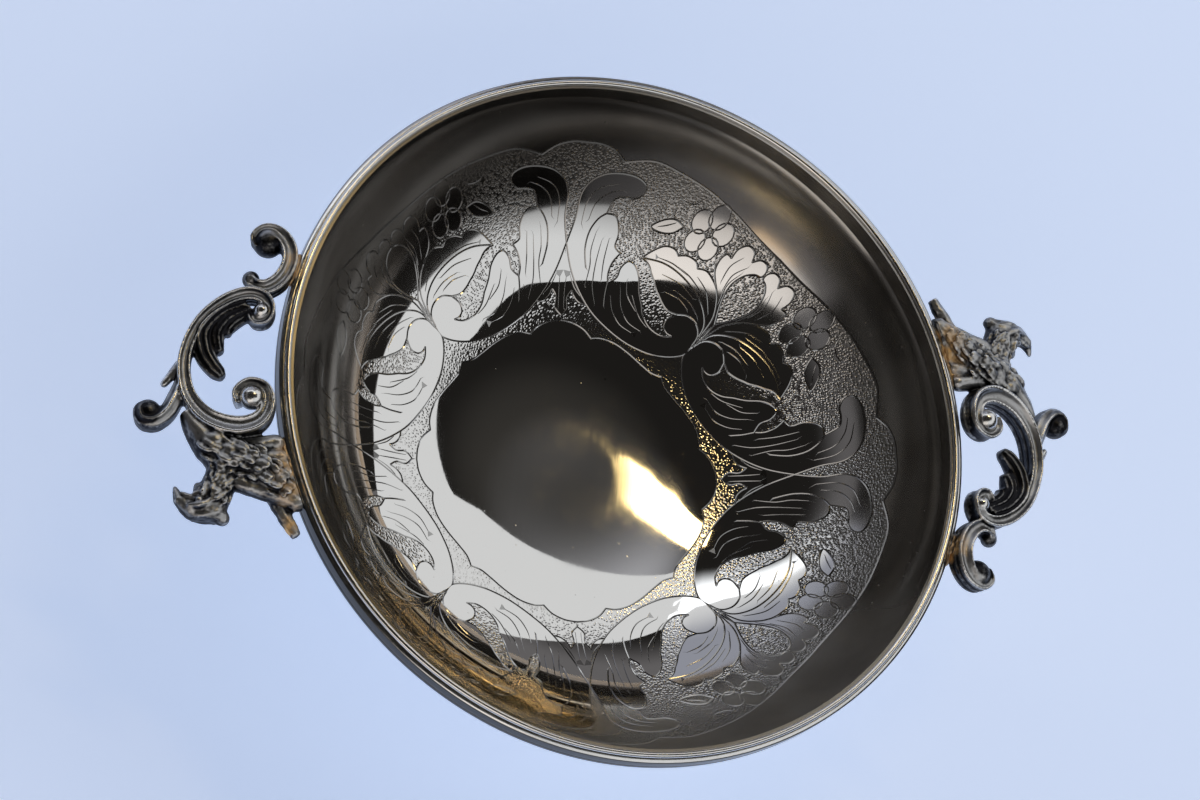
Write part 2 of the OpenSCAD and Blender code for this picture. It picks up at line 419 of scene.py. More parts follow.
# Directions from the middle of the dish to its places
WORN_SIDE = (-0.9, -0.3, 0)
LATHE_SIDE = (-0.342, -0.94, 0)
# Side of the wall in painted shade
SHADED_SIDE = (-0.92, 0.39, 0)
# Side that is rubbed rougher, with its cuts painted lighter as painted light
RUBBED_LIT_SIDE = (0.5, -0.87, 0)
# Colour of the painted gold reflection of the warm tube
PAINTED_GOLD_REFLECTION = (0.84, 0.66, 0.42)
PIT_BROWN = (0.2, 0.18, 0.16)
CUT_GREY = (0.17, 0.165, 0.16)
SPOT_BROWN = (0.1, 0.09, 0.08)


def darker(colour, share):
    """A share of a colour."""
    return [share * part for part in colour]


def engraved_silver():
    """Polished silver with a film of tarnish on the wall, partly painted shade, punched ground and
    darker cuts; painted shade on the left wall and under the rim, a painted gold reflection low on
    the wall, and cuts painted lighter on the lower right.
    """
    c = colours()
    f = Finish("engraved silver")
    cut = f.attribute("cut")
    inner = (1.5 - f.attribute("skin")).step(-0.1, 0.1)
    far = f.axis_distance()
    wall = inner * far.step(*WALL)
    worn_side = f.along(WORN_SIDE).step(-0.005, 0.025) * far.step(*WORN_GROUND)
    ground = f.attribute("ground") * (1 - worn_side)
    # Painted shade on the outside under the rim, given as thicker film and darker colour
    shade_under_rim = (1 - inner) * f.along((0, 0, 1)).step(*SHADE_UNDER_RIM)
    lathe_side = f.along(LATHE_SIDE) / far
    # Painted gold reflection of the warm tube low on the wall, where film and haze are less
    gold_reflection = (inner * lathe_side.step(0.84, 0.94) * far.step(*GOLD_REFLECTION_FROM)
              * (1 - far.step(*GOLD_REFLECTION_TO)))
    # Painted shade: the left wall is darkened to stand for the dark room it reflects
    shaded_side = (inner * far.step(*SHADED_WALL) * f.along(SHADED_SIDE).step(-0.012, 0.035)
                 * (1 - gold_reflection))
    # Lower right: rougher from rubbing, and its cuts painted lighter, as painted light
    rubbed_lit_side = ((f.along(RUBBED_LIT_SIDE) / far).step(0.7, 0.9) * far.step(*RUBBED_LIT_WALL)
                   * (1 - gold_reflection))
    deeper = far.step(*DEEPER_GROUND)
    punch = f.cells(engraving().stipple)

    blotch = f.noise(0.014, 5).step(0.42, 0.72)
    # Film of tarnish: thin everywhere, a little more outside, and thicker on the wall, where it is
    # partly painted shade that darkens the wall's reflections; more on the outside under the rim as
    # painted shade
    film = 0.04 + 0.2 * (1 - inner) + 0.72 * wall * (1 - 0.8 * gold_reflection) + 0.7 * shade_under_rim
    colour = (film * (0.75 + 0.25 * blotch)).mix(c.silver, c.tarnish)
    # Painted gold reflection
    colour = (0.8 * gold_reflection).mix(colour, PAINTED_GOLD_REFLECTION)
    # Painted shade: dark colour on the shaded left wall and on the outside under the rim
    colour = (0.9 * shaded_side + 0.85 * shade_under_rim).mix(colour, darker(c.tarnish, 0.3))
    pits = 1 - punch.step(0.1, 0.55)
    colour = (ground * pits * (0.25 + 0.25 * deeper)).mix(colour, PIT_BROWN)
    # Cuts greyer, but painted lighter on the rubbed lower right
    colour = (cut * (0.62 - 0.55 * rubbed_lit_side)).mix(colour, CUT_GREY)
    specks = 1 - f.cells(0.0045).step(0.035, 0.06)
    spot = specks * f.noise(0.02, 2).step(0.5, 0.62)
    colour = (spot * 0.5).mix(colour, SPOT_BROWN)

    smear = f.noise(0.006, 6, f.stretched((1, 1, 0.25))).step(0.35, 0.75)
    dust = 1 - f.cells(0.0024).step(0.03, 0.075)
    dust = inner * dust * f.noise(0.007, 1).step(0.48, 0.56)
    rough = 0.022 + 0.025 * smear + 0.06 * far.step(*HAZY) * (1 - gold_reflection)
    rough = rough + 0.1 * wall * (1 - 0.7 * gold_reflection) + (0.07 + 0.05 * deeper) * ground
    rough = rough + 0.1 * cut + 0.1 * (1 - inner) + 0.3 * dust
    rough = rough + 0.16 * rubbed_lit_side * (1 - ground)

    normal = f.bump(f.noise(0.018, 1), 0.0003, 0.03)
    rings = f.noise(0.0017, 1, f.start.node("ShaderNodeCombineXYZ", None, {"X": far}))
    rings = rings * far.step(*TURNING_MARKS) * (0.12 + 0.88 * lathe_side.step(0.76, 0.9))
    normal = f.bump(rings, 0.00003, 0.5, normal)
    calm = lathe_side.step(0.76, 0.86) * far.step(*CALM_MARKS)
    rubbed = f.noise(0.0009, 2, f.stretched((1, 0.06, 0.4))) * (1 - 0.9 * calm)
    normal = f.bump(rubbed, 0.00002, 0.045, normal)
    dents = punch.step(0.0, 0.75) * ground * (0.3 + 0.3 * deeper + 0.5 * far.step(*STEEP_GROUND))
    normal = f.bump(dents, 0.00018, 0.6, normal)
    return f.feed(Base_Color=colour, Roughness=rough, Normal=normal)


def drawn_silver(name, dull, shaded_from, rubbing=0.0):
    """Silver drawn or spun to shape, with film in blotches and painted shade beyond a radius."""
    c = colours()
    f = Finish(name)
    blotch = f.noise(0.009, 5).step(0.4, 0.7)
    # Painted shade: dark colour on the outer face beyond a radius
    edge = f.axis_distance().step(shaded_from, shaded_from + 0.0001)
    colour = (0.05 + 0.5 * dull * blotch).mix(c.silver, c.tarnish)
    colour = (0.97 * edge).mix(colour, darker(c.tarnish, 0.2))
    grain = f.noise(0.0012, 4, f.stretched((1, 1, 3)))
    rough = 0.1 + rubbing + 0.1 * grain.step(0.3, 0.75) + 0.12 * dull * blotch
    normal = f.bump(f.noise(0.004, 2), 0.0002, 0.07)
    normal = f.bump(grain, 0.00002, 0.1, normal)
    return f.feed(Base_Color=colour, Roughness=rough, Normal=normal)


# Values stored on the castings: wear, hollows, solder stain, and painted light and shade
WEAR_AND_LIGHT = ("worn_and_lit", "hollow", "gilt", "up", "black", "knob")


def cast_silver():
    """Cast silver with black oxide in its hollows and rubbed bright on its ridges, with painted
    light and shade: lighter tops, dark sides, painted highlights on knobs and edges, and a dark
    leaf.
    """
    c = colours()
    f = Finish("old cast silver")
    worn_and_lit, hollow, gilt, up, black, knob = map(f.attribute, WEAR_AND_LIGHT)
    grain = f.noise(0.0007, 5)
    patch = f.noise(0.003, 4)
    # Rubbed ridges, with painted highlights on the knobs and the scroll's edge, painted lighter on
    # tops as painted light
    bright = (worn_and_lit + 1.1 * grain - 0.55).step(0.4, 0.95)
    bright = bright * (0.25 + 0.75 * up) * (1 - 0.7 * black)
    # Oxide in the hollows; painted shade on the sides, on the leaf and on the black balls; painted
    # light on tops and knobs
    lit_and_clean = (up - 0.6 * hollow + 0.9 * patch - 0.5 - 0.75 * black + 0.4 * knob).step(0.15, 0.95)
    colour = lit_and_clean.mix(c.oxide, c.cast)
    colour = bright.mix(colour, c.silver)
    colour = (gilt * patch.step(0.42, 0.58)).mix(colour, c.solder)
    rough = 0.3 - 0.04 * lit_and_clean - 0.08 * bright - 0.06 * knob + 0.2 * gilt + 0.16 * grain
    normal = f.bump(grain, 0.00008, 0.5)
    normal = f.bump(patch, 0.0002, 0.25, normal)
    return f.feed(Base_Color=colour, Roughness=rough, Normal=normal)


SOLDER_BROWN = (0.5, 0.36, 0.24)


def old_solder():
    """Solder with a gold-brown skin and a few grey places."""
    c = colours()
    f = Finish("gold-brown solder")
    skin = f.noise(0.0016, 4)
    lumps = f.noise(0.0008, 2)
    colour = skin.step(0.35, 0.65).mix(c.solder, SOLDER_BROWN)
    colour = (lumps.step(0.6, 0.75) * 0.7).mix(colour, c.cast)
    normal = f.bump(lumps, 0.00018, 0.5)
    return f.feed(Base_Color=colour, Roughness=0.28 + 0.25 * skin, Normal=normal)


# The engraving: one eighth of it, in millimetres, from its axis (y = 0) to its diagonal (y = x)

# Cuts that bound the smooth leaves, in order round them
SCROLL_EDGE = [
    # the long scroll, from the tie on the diagonal to the crossing on the axis
    [(23.4, 23.4), (22.2, 22.2), (21.8, 19.6), (22.2, 16.4), (23.2, 13.6), (24.5, 11.1),
     (26.6, 8.2), (29.2, 5.4), (32.6, 3), (36, 1.3), (40, 0)],
    # the leaf that rolls up against the outer border
    [(40, 0), (43.8, 1), (47, 1.2), (48.8, 2.4), (49.8, 4.6), (50, 7.4), (49.5, 10.4),
     (48.4, 12.3), (47.3, 12.2), (46.7, 10.8), (46.9, 9), (46.6, 7.4), (44.6, 6.4)],
    # the fan's tip and its upper edge
    [(44.6, 6.4), (44.4, 7.8), (43.4, 8.7), (41.6, 9.1), (39.8, 8.8), (38.8, 9.9)],
    [(38.8, 9.9), (37.4, 8.7), (35.6, 8.1), (34, 8.2)],
    # the lobe over it
    [(34, 8.2), (35, 9.7), (36.6, 10.3), (37.6, 11.5), (37, 12.7), (35.2, 13.6), (32.8, 13.9),
     (30.6, 14.5)],
    # the pocket in the scroll, and the hook over it
    [(30.6, 14.5), (28.6, 14.9), (26.7, 16.1), (25.5, 18), (25.4, 20)],
    [(25.4, 20), (25.9, 19.1), (26.9, 18.6), (28.2, 19.1), (29.1, 20.7)],
    # the blade's three teeth
    [(29.1, 20.7), (29.8, 19), (31, 18), (32.3, 17.3)],
    [(32.3, 17.3), (33.2, 16.8), (34.6, 16.3), (35.8, 15.7)],
    [(35.8, 15.7), (36.8, 15.3), (37.6, 14.6), (38.2, 13.7)],
    # the back of the blade
    [(38.2, 13.7), (39.4, 15.8), (39.9, 17.6), (39.4, 19.2), (38.4, 19.9)],
    [(38.4, 19.9), (38.3, 21.5), (37.4, 23), (36.3, 23.4)],
    [(36.3, 23.4), (35.8, 25), (34.2, 26.3), (33, 26.9)],
    # the spray beside the diagonal
    [(33, 26.9), (35.6, 26.3), (37.3, 26.8), (38.1, 27.8), (37.4, 28.6)],
    [(37.4, 28.6), (38.6, 29.4), (38.9, 30.9), (37.8, 32), (36.4, 31.9)],
    [(36.4, 31.9), (36.5, 33.2), (35.7, 34.2), (34.6, 34.3), (34, 33.6), (34.5, 32.6), (34.5, 31),
     (33.4, 29.2), (31, 28), (27.2, 27.2)],
]
FLOWERET_EDGE = [
    [(28.2, 0), (29.4, 1.1), (31.2, 1), (32.5, 1.8)],
    [(32.5, 1.8), (31.4, 2.3), (30.5, 3.3), (30.2, 4.6)],
]
# where the small leaf on the axis runs on under the crossing
FLOWERET_BACK = [(30.2, 4.6), (32.6, 3), (36, 1.3), (40, 0)]
BUD = [(42.6, 20), (43.7, 18.4), (43.7, 16.4), (42.8, 14.5), (41.9, 16.4), (41.8, 18.4), (42.6, 20)]
# The flower: its middle, then its petals' number, first turn, middle, half length and half width
FLOWER = (41.4, 24.3)
PETALS = 5
PETAL_TURN = 30
PETAL_MIDDLE, PETAL_LONG, PETAL_WIDE = 2.3, 1.7, 1.62
INNER_BORDER = [
    [(18.3, 18.3), (18.9, 16.5), (20.2, 14.8), (22.3, 12.3), (23.9, 9.8), (24.6, 7.4), (24.5, 5.6)],
    [(24.5, 5.6), (26, 4.2), (27, 2.1), (27.3, 0)],
]
OUTER_BORDER = [
    [(36, 36), (39.2, 32.6), (43.4, 28), (47, 23), (49.7, 17.6), (51.4, 12.6), (51.4, 7.6)],
    [(51.4, 7.6), (52.7, 5.4), (53.4, 2.7), (53.5, 0)],
]
INNER_CUTS = [
    [(29.1, 20.7), (28.8, 22.6), (27.4, 24.1), (25.4, 24.5), (23.4, 23.4)],
    [(23.8, 23.6), (26.8, 25.4), (30, 25), (33, 23.2), (35.7, 20.4), (37.4, 17.4), (38.2, 13.9)],
    [(24.4, 24.2), (28, 26.7), (31, 27.2), (33, 26.9)],
    [(44.6, 6.4), (43.8, 5.1), (42, 3.9), (39.4, 3.5), (36.4, 4)],
    [(34, 8.2), (32.2, 7.9), (30.2, 7.8)],
    [(25.2, 24.9), (26.2, 26), (27.2, 27.2)],
]
VEINS = [
    [(27, 15.4), (28.8, 14), (32.2, 12.7)], [(26.2, 14.4), (27.7, 12.1), (30.2, 10.9), (33, 10.6)],
    [(25.9, 12.8), (27.3, 10.6), (29.6, 9.3), (32, 8.9)], [(29.6, 13.4), (32, 11.9), (34.6, 11.6)],
    [(30.6, 6.1), (33.6, 5.5), (37, 5.7), (40.6, 6.3)], [(34.6, 7), (37.6, 7.1), (41, 7.6)],
    [(33.4, 4.1), (36.6, 4.7), (39.2, 4.6), (41.8, 5.1)],
    [(28.6, 24.2), (31, 22.6), (33, 20)], [(29.8, 22.4), (31.6, 20.8), (32.8, 18.4)],
    [(31.6, 23.2), (34, 20.8), (35.6, 17.6)], [(29, 26), (32.4, 25.4), (35, 23.6)],
    [(32.4, 24.6), (35.2, 22.2), (37, 19.6)], [(35.4, 21.8), (37.2, 19.2), (38.2, 16.6)],
    [(32.6, 27.9), (34.8, 29.2), (35.7, 31.4)], [(34, 27.5), (36.2, 28.6), (37.2, 30.4)],
    [(30.6, 27.5), (33.4, 28.6), (34.9, 30.6)], [(29.4, 0.5), (31.6, 0.5), (34.6, 0.6)],
    [(43, 2.2), (46.2, 2.6), (48, 4.4), (48.6, 7.4)],
    [(43.6, 3.4), (46, 4.2), (47.4, 6.2), (47.8, 8.6)],
    [(43.2, 18.6), (42.9, 17), (42.8, 15.7)], [(31.6, 3.4), (33, 2.2), (35, 1.3)],
    [(46.6, 18.4), (46, 19.4), (45.6, 21), (46.2, 22.4)],
]

# Radii of the engraved band, steps round the bowl, and spacing of the points in the band
BAND_IN = 22.0
BAND_OUT = 55.0
ROUND_STEPS = 192
EIGHTH_STEPS = ROUND_STEPS // 8
GRID_STEP = 1.25
CUT_STEP = 0.42
# Points closer than these to each other, to the axis or to the diagonal are taken as one with it
SAME_POINT = 0.003
ON_AXIS = 0.004
ON_DIAGONAL = 0.006
SMALLEST_FACE = 1e-6
SHALLOWEST_CUT = 0.12
CLEAR_OF_CUTS = 1.7


def flower_petals():
    """Outlines of the petals round the flower's middle."""
    turn = np.linspace(0, 2 * math.pi, 17)
    petals = []
    for k in range(PETALS):
        a = math.radians(360 / PETALS * k + PETAL_TURN)
        along, across = PETAL_MIDDLE + PETAL_LONG * np.cos(turn), PETAL_WIDE * np.sin(turn)
        petals.append(np.stack([FLOWER[0] + along * math.cos(a) - across * math.sin(a),
                                FLOWER[1] + along * math.sin(a) + across * math.cos(a)], 1))
    return petals


def inside(points, polygon):
    """Which points lie inside a closed polygon."""
    x, y = points[:, 0], points[:, 1]
    found = np.zeros(len(points), bool)
    for (x0, y0), (x1, y1) in zip(polygon, np.roll(polygon, -1, axis=0)):
        if y0 != y1:
            crosses = (y0 > y) != (y1 > y)
            found ^= crosses & (x < (x1 - x0) * (y - y0) / (y1 - y0) + x0)
    return found


def cuts_in_eighth():
    """Each cut of the pattern as a smooth path with its width, in millimetres."""
    e = engraving()
    bold, fine = e.outline_width / MM, e.vein_width / MM
    cuts = []
    for line in SCROLL_EDGE + FLOWERET_EDGE + INNER_BORDER + OUTER_BORDER + INNER_CUTS + [BUD]:
        path = smooth(line, CUT_STEP)
        cuts.append((path, np.full(len(path), bold)))
    for petal in flower_petals():
        cuts.append((petal, np.full(len(petal), bold * 0.9)))
    for line in VEINS:
        path = smooth(line, CUT_STEP)
        swell = np.sin(np.linspace(0.12, 0.96, len(path)) * math.pi)
        cuts.append((path, fine * (0.3 + 0.7 * swell)))
    return cuts


def cut_depths(points, cuts):
    """Depth of the engraving at each point, as the deepest of the cuts over it, in millimetres."""
    e = engraving()
    deepest = np.zeros(len(points))
    for path, width in cuts:
        for a, b, wa, wb in zip(path, path[1:], width, width[1:]):
            near = np.abs(points - (a + b) / 2).max(axis=1) < np.linalg.norm(b - a) + wa + wb
            if not near.any():
                continue
            span = b - a
            f = np.clip(((points[near] - a) @ span) / (span @ span), 0, 1)
            gap = np.linalg.norm(points[near] - a - f[:, None] * span, axis=1)
            half = (wa + (wb - wa) * f) / 2
            full = e.cut_depth / e.outline_width * 2 * half
            deepest[near] = np.maximum(deepest[near], full * np.clip(1 - gap / half, 0, 1))
    deepest[deepest < SHALLOWEST_CUT * e.cut_depth / MM] = 0
    return deepest


def eighth_outline():
    """Edge of the engraved band's eighth."""
    angles = np.linspace(0, math.pi / 4, EIGHTH_STEPS + 1)
    ring = np.stack([np.cos(angles), np.sin(angles)], 1)
    return np.concatenate([BAND_IN * ring, BAND_OUT * ring[::-1]])


def engraved_eighth():
    """Cuts the flat eighth along every line. Gives points, depths, triangles and their kinds."""
    cuts = cuts_in_eighth()
    points, edges = [], []

    def add(path, closed=False):
        first = len(points)
        points.extend(Vector(p) for p in path)
        edges.extend((first + k, first + k + 1) for k in range(len(path) - 1))
        if closed:
            edges.append((len(points) - 1, first))

    edge = eighth_outline()
    add(edge, closed=True)
    for path, width in cuts:
        along = np.gradient(path, axis=0)
        across = np.stack([-along[:, 1], along[:, 0]], 1) / np.linalg.norm(along, axis=1)[:, None]
        offset = across * width[:, None] / 2
        for side in (-1, 0, 1):
            add(path + side * offset)
    grid = [(r * math.cos(a), r * math.sin(a))
            for r in np.arange(BAND_IN + GRID_STEP, BAND_OUT - 0.5, GRID_STEP)
            for a in np.linspace(0, math.pi / 4, EIGHTH_STEPS + 1)]
    grid = np.array(grid)
    wide = [(path, width * CLEAR_OF_CUTS) for path, width in cuts]
    points.extend(Vector(p) for p in grid[cut_depths(grid, wide) == 0])

    found = geometry.delaunay_2d_cdt(points, edges, [], 0, SAME_POINT)
    flat = np.array([tuple(v) for v in found[0]])
    faces = np.array(found[2])
    on_axis = np.abs(flat[:, 1]) < ON_AXIS
    flat[on_axis, 1] = 0
    on_diagonal = np.abs(flat[:, 0] - flat[:, 1]) < ON_DIAGONAL
    flat[on_diagonal] = flat[on_diagonal].mean(axis=1)[:, None]
    middles = flat[faces].mean(axis=1)
    corners = flat[faces]
    area = np.abs(np.cross(corners[:, 1] - corners[:, 0], corners[:, 2] - corners[:, 0]))
    keep = inside(middles, edge) & (area > SMALLEST_FACE)
    faces, middles = faces[keep], middles[keep]
    depth = cut_depths(flat, cuts)
    cut = depth[faces].max(axis=1) > 0

    def outline(lines):
        return np.concatenate([smooth(line, CUT_STEP)[:-1] for line in lines])

    back = [line[::-1] for line in INNER_BORDER[::-1]]
    band = np.concatenate([outline(OUTER_BORDER), [OUTER_BORDER[-1][-1]],
                           outline(back), [INNER_BORDER[0][0]]])
    ground = inside(middles, band)
    leaves = [SCROLL_EDGE, FLOWERET_EDGE + [FLOWERET_BACK], [BUD]]
    for shape in [outline(leaf) for leaf in leaves] + flower_petals():
        ground &= ~inside(middles, shape)
    return flat, depth, faces, ground & ~cut, cut


INNER_SKIN, OUTER_SKIN, EDGE_SKIN = 1, 2, 0
FLOOR_STEPS, WALL_STEPS, OUTSIDE_STEPS = 18, 14, 25


def on_bowl(flat, depth):
    """Lifts flat points in millimetres to the bowl's inner curve, cut in by depth."""
    radius = np.linalg.norm(flat, axis=1) * MM
    reach, hollow = inner_curve()
    slope = bowl_slope(radius, reach, hollow)
    out = flat / np.linalg.norm(flat, axis=1)[:, None]
    tilt = np.sqrt(1 + slope ** 2)
    radius = radius + depth * MM * slope / tilt
    z = bowl_height(np.linalg.norm(flat, axis=1) * MM, reach, hollow) - depth * MM / tilt
    return np.concatenate([out * radius[:, None], z[:, None]], 1)


def bowl_profiles():
    """Profiles of the plain floor, and of the wall, edge and underside."""
    s = sizes()
    reach, depth = inner_curve()
    outer_reach, outer_depth = outer_curve()
    edge_top = s.height - s.bead_radius
    floor = np.linspace(0, BAND_IN * MM, FLOOR_STEPS + 1)
    start = math.asin((BAND_OUT * MM / reach) ** (s.flatness / 2))
    lift = [start + (math.pi / 2 - start) * k / WALL_STEPS for k in range(WALL_STEPS + 1)]
    wall = [reach * math.sin(a) ** (2 / s.flatness) for a in lift]
    lift = np.radians(np.linspace(90, 0, OUTSIDE_STEPS + 1))
    under = [outer_reach * math.sin(a) ** (2 / s.flatness) for a in lift]

    def on_curve(radii, *curve):
        return [(float(r), float(bowl_height(r, *curve))) for r in radii]

    return (on_curve(floor, reach, depth),
            on_curve(wall, reach, depth) + [(reach, edge_top)],
            [(outer_reach, edge_top)] + on_curve(under, outer_reach, outer_depth))


class DISH_OT_bowl(bpy.types.Operator):
    """Make the spun bowl with its engraved inside"""

    bl_idname = "dish.make_bowl"
    bl_label = "Bowl"

    def execute(self, context):
        flat, depth, faces, ground, cut = engraved_eighth()
        draft = bpy.data.meshes.new("eighth")
        draft.from_pydata(on_bowl(flat, depth).tolist(), [], faces.tolist())
        bm = bmesh.new()
        bm.from_mesh(draft)
        ground_layer = bm.faces.layers.float.new("ground")
        cut_layer = bm.faces.layers.float.new("cut")
        skin_layer = bm.faces.layers.int.new("skin")
        for face, g, c in zip(bm.faces, ground, cut):
            face[ground_layer] = float(g)
            face[cut_layer] = float(c)
            face[skin_layer] = INNER_SKIN
        loose = [v for v in bm.verts if not v.link_faces]
        bmesh.ops.delete(bm, geom=loose, context="VERTS")
        bmesh.ops.mirror(bm, geom=bm.verts[:] + bm.edges[:] + bm.faces[:], merge_dist=2e-6,
                         axis="Y")
        bmesh.ops.spin(bm, geom=bm.verts[:] + bm.edges[:] + bm.faces[:], cent=(0, 0, 0),
                       axis=(0, 0, 1), angle=1.5 * math.pi, steps=3, use_duplicate=True)
        floor, wall, outside = bowl_profiles()
        edge = [wall[-1], outside[0]]
        for profile, skin in ((floor, INNER_SKIN), (wall, INNER_SKIN), (outside, OUTER_SKIN),
                              (edge, EDGE_SKIN)):
            plain = bmesh.new()
            spun(plain, profile, ROUND_STEPS)
            own = plain.faces.layers.int.new("skin")
            for face in plain.faces:
                face[own] = skin
            plain.to_mesh(draft)
            plain.free()
            bm.from_mesh(draft)
        bpy.data.meshes.remove(draft)
        bmesh.ops.remove_doubles(bm, verts=bm.verts[:], dist=3e-6)
        bmesh.ops.dissolve_degenerate(bm, dist=1e-7, edges=bm.edges[:])
        bmesh.ops.recalc_face_normals(bm, faces=bm.faces[:])
        bmesh.ops.rotate(bm, verts=bm.verts[:], cent=(0, 0, 0),
                         matrix=Matrix.Rotation(engraving().turn, 3, "Z"))
        piece = piece_from(bm, "bowl_engraved")
        polish(piece.data)
        place(piece, "bowl", "bowl_silver", engraved_silver())
        return {"FINISHED"}


# Slope that stands for an upright wall
UPRIGHT = 1e4


def polish(mesh):
    """Gives the plain skin of the bowl the true slope of its curve, and keeps the cuts crisp."""
    corner = fetched(mesh.loops, "vertex_index", kind=np.int32)
    total = fetched(mesh.polygons, "loop_total", kind=np.int32)
    owner = np.repeat(np.arange(len(mesh.polygons)), total)
    normals = fetched(mesh.polygons, "normal", 3)[owner]
    spots = fetched(mesh.vertices, "co", 3)[corner]
    skin = fetched(mesh.attributes["skin"].data, "value", kind=np.int32)
    cut = fetched(mesh.attributes["cut"].data, "value")
    radius = np.linalg.norm(spots[:, :2], axis=1)
    out = spots[:, :2] / np.maximum(radius, 1e-9)[:, None]
    s = sizes()
    for kind, curve, facing in ((INNER_SKIN, inner_curve(), 1), (OUTER_SKIN, outer_curve(), -1)):
        mine = (skin[owner] == kind) & (cut[owner] == 0)
        slope = bowl_slope(radius, *curve)
        slope[spots[:, 2] > s.height - s.rim_height - 1e-6] = UPRIGHT
        true = np.concatenate([-out * slope[:, None], np.ones((len(corner), 1))], 1)
        true *= facing / np.linalg.norm(true, axis=1)[:, None]
        normals[mine] = true[mine]
    mesh.normals_split_custom_set(normals.tolist())


RIM_STEPS = 242
FOOT_STEPS = 160


class DISH_OT_rim(bpy.types.Operator):
    """Make the reeded wire round the bowl's edge"""

    bl_idname = "dish.make_rim"
    bl_label = "Rim wire"

    def execute(self, context):
        s = sizes()
        low, high = s.height - s.rim_height, s.height - s.bead_radius
        bead = s.bead_radius
        sheet = s.rim_radius - s.rim_width
        edge, groove, groove_height = 0.0004, 0.00012, 0.0011
        # The outer reed slopes outwards, from gentle beside the bead to steep at its brow
        brow, brow_drop = 0.00016, 0.00035
        shoulder = sheet + 1.3 * bead
        gentle, steep = math.radians(12), math.radians(30)
        slope = (s.rim_radius - brow - shoulder) / (math.sin(steep) - math.sin(gentle))
        reed = (shoulder - slope * math.sin(gentle), high - slope * math.cos(gentle))
        section = [(sheet, low)]
        section += arc((s.rim_radius - edge, low + edge), edge, -90, 0, 6)
        section += arc((s.rim_radius, low + groove_height), groove, -90, -270, 6)
        section += arc((s.rim_radius - brow, high - brow_drop), brow, 0, 60, 5)
        section += arc(reed, slope, 60, 78, 8)
        section += [(sheet + 1.25 * bead, high - 0.00015), (sheet + 1.08 * bead, high - 0.0004),
                    (sheet + bead, high - 0.00035)]
        section += arc((sheet, high), bead, 0, 180, 16)
        section += [(sheet, high)]
        piece = spun_piece("rim_reeded", section, RIM_STEPS)
        finish = drawn_silver("drawn rim silver", 0.2, s.rim_radius - 0.00015, 0.02)
        place(piece, "rim_wire", "rim_silver", finish)
        return {"FINISHED"}


class DISH_OT_foot(bpy.types.Operator):
    """Make the spool-shaped foot, its wire and the solder that holds it"""

    bl_idname = "dish.make_foot"
    bl_label = "Foot"

    def execute(self, context):
        s = sizes()
        reach, depth = outer_curve()
        flare = s.foot_radius - s.foot_wire_width / 2 + s.foot_sheet / 2
        base = s.foot_wire_height
        into_bowl, bevel, solder_spread = 0.00005, 0.0003, 0.0009

        def side(inset):
            top = float(bowl_height(s.neck_radius - inset, reach, depth)) + into_bowl
            return [(float(flare - (flare - s.neck_radius) * math.sin(math.pi / 2 * k) - inset),
                     float(base + (top - base) * k)) for k in np.linspace(0, 1, 25)]

        finish = drawn_silver("spun foot silver", 0.6, s.foot_radius)
        outer = side(0)
        spool = spun_piece("foot_spool", outer + side(s.foot_sheet)[::-1], FOOT_STEPS)
        place(spool, "foot_collar", "foot_silver", finish)

        bead = base / 2
        inner = s.foot_radius - s.foot_wire_width
        section = [(inner + bevel, 0), *arc((s.foot_radius - bead, bead), bead, -90, 90, 14)]
        section += [(inner + bevel, base), (inner, base - bevel), (inner, bevel)]
        place(spun_piece("foot_bead", section, FOOT_STEPS), "foot_wire", "foot_silver", finish)

        spread = s.neck_radius + solder_spread
        toe, root = np.array(outer[-3]), np.array(outer[-1])
        top = np.array((spread, float(bowl_height(spread, reach, depth))))
        bend = root + (0.0001, -0.0001)
        hollow = [tuple((1 - f) ** 2 * toe + 2 * f * (1 - f) * bend + f * f * top)
                  for f in np.linspace(0, 1, 7)]
        fillet = spun_piece("foot_fillet", hollow + [(root[0] - 0.0002, root[1])], FOOT_STEPS)
        place(fillet, "foot_solder", "solder", old_solder())
        return {"FINISHED"}


# The casting's plan, in millimetres: out from the rim, along it, up, then width and height

# C-scroll, from its upper volute over the arch to its lower volute
C_SCROLL = [
    (5.4, 13.2, 0, 1.6, 3.6), (5.9, 11.5, 0, 1.9, 3.9), (4.2, 9.9, 0, 2.1, 4.1),
    (1.9, 10.4, 0, 2.2, 4.2), (0.9, 12.8, 0, 2.5, 4.4), (2, 15.8, 0, 3, 4.6),
    (5.4, 17.2, 0, 3.3, 4.6), (10, 16.2, 0, 3, 4.6), (13.4, 13, 0, 2.5, 4.6),
    (14.9, 8.4, 0, 2.2, 4.6), (14.7, 4, 0, 2, 4.6), (13, -0.4, 0, 2, 4.6),
    (9.8, -3.9, 0, 2.1, 4.6), (6.4, -5.6, 0, 2.2, 4.5), (3.8, -5.3, 0, 2.2, 4.2),
    (2.6, -3.5, 0, 2.1, 4), (3, -1.6, 0, 1.9, 3.9), (4.6, -1.2, 0, 1.7, 3.7),
    (5.4, -2.4, 0, 1.5, 3.5)]
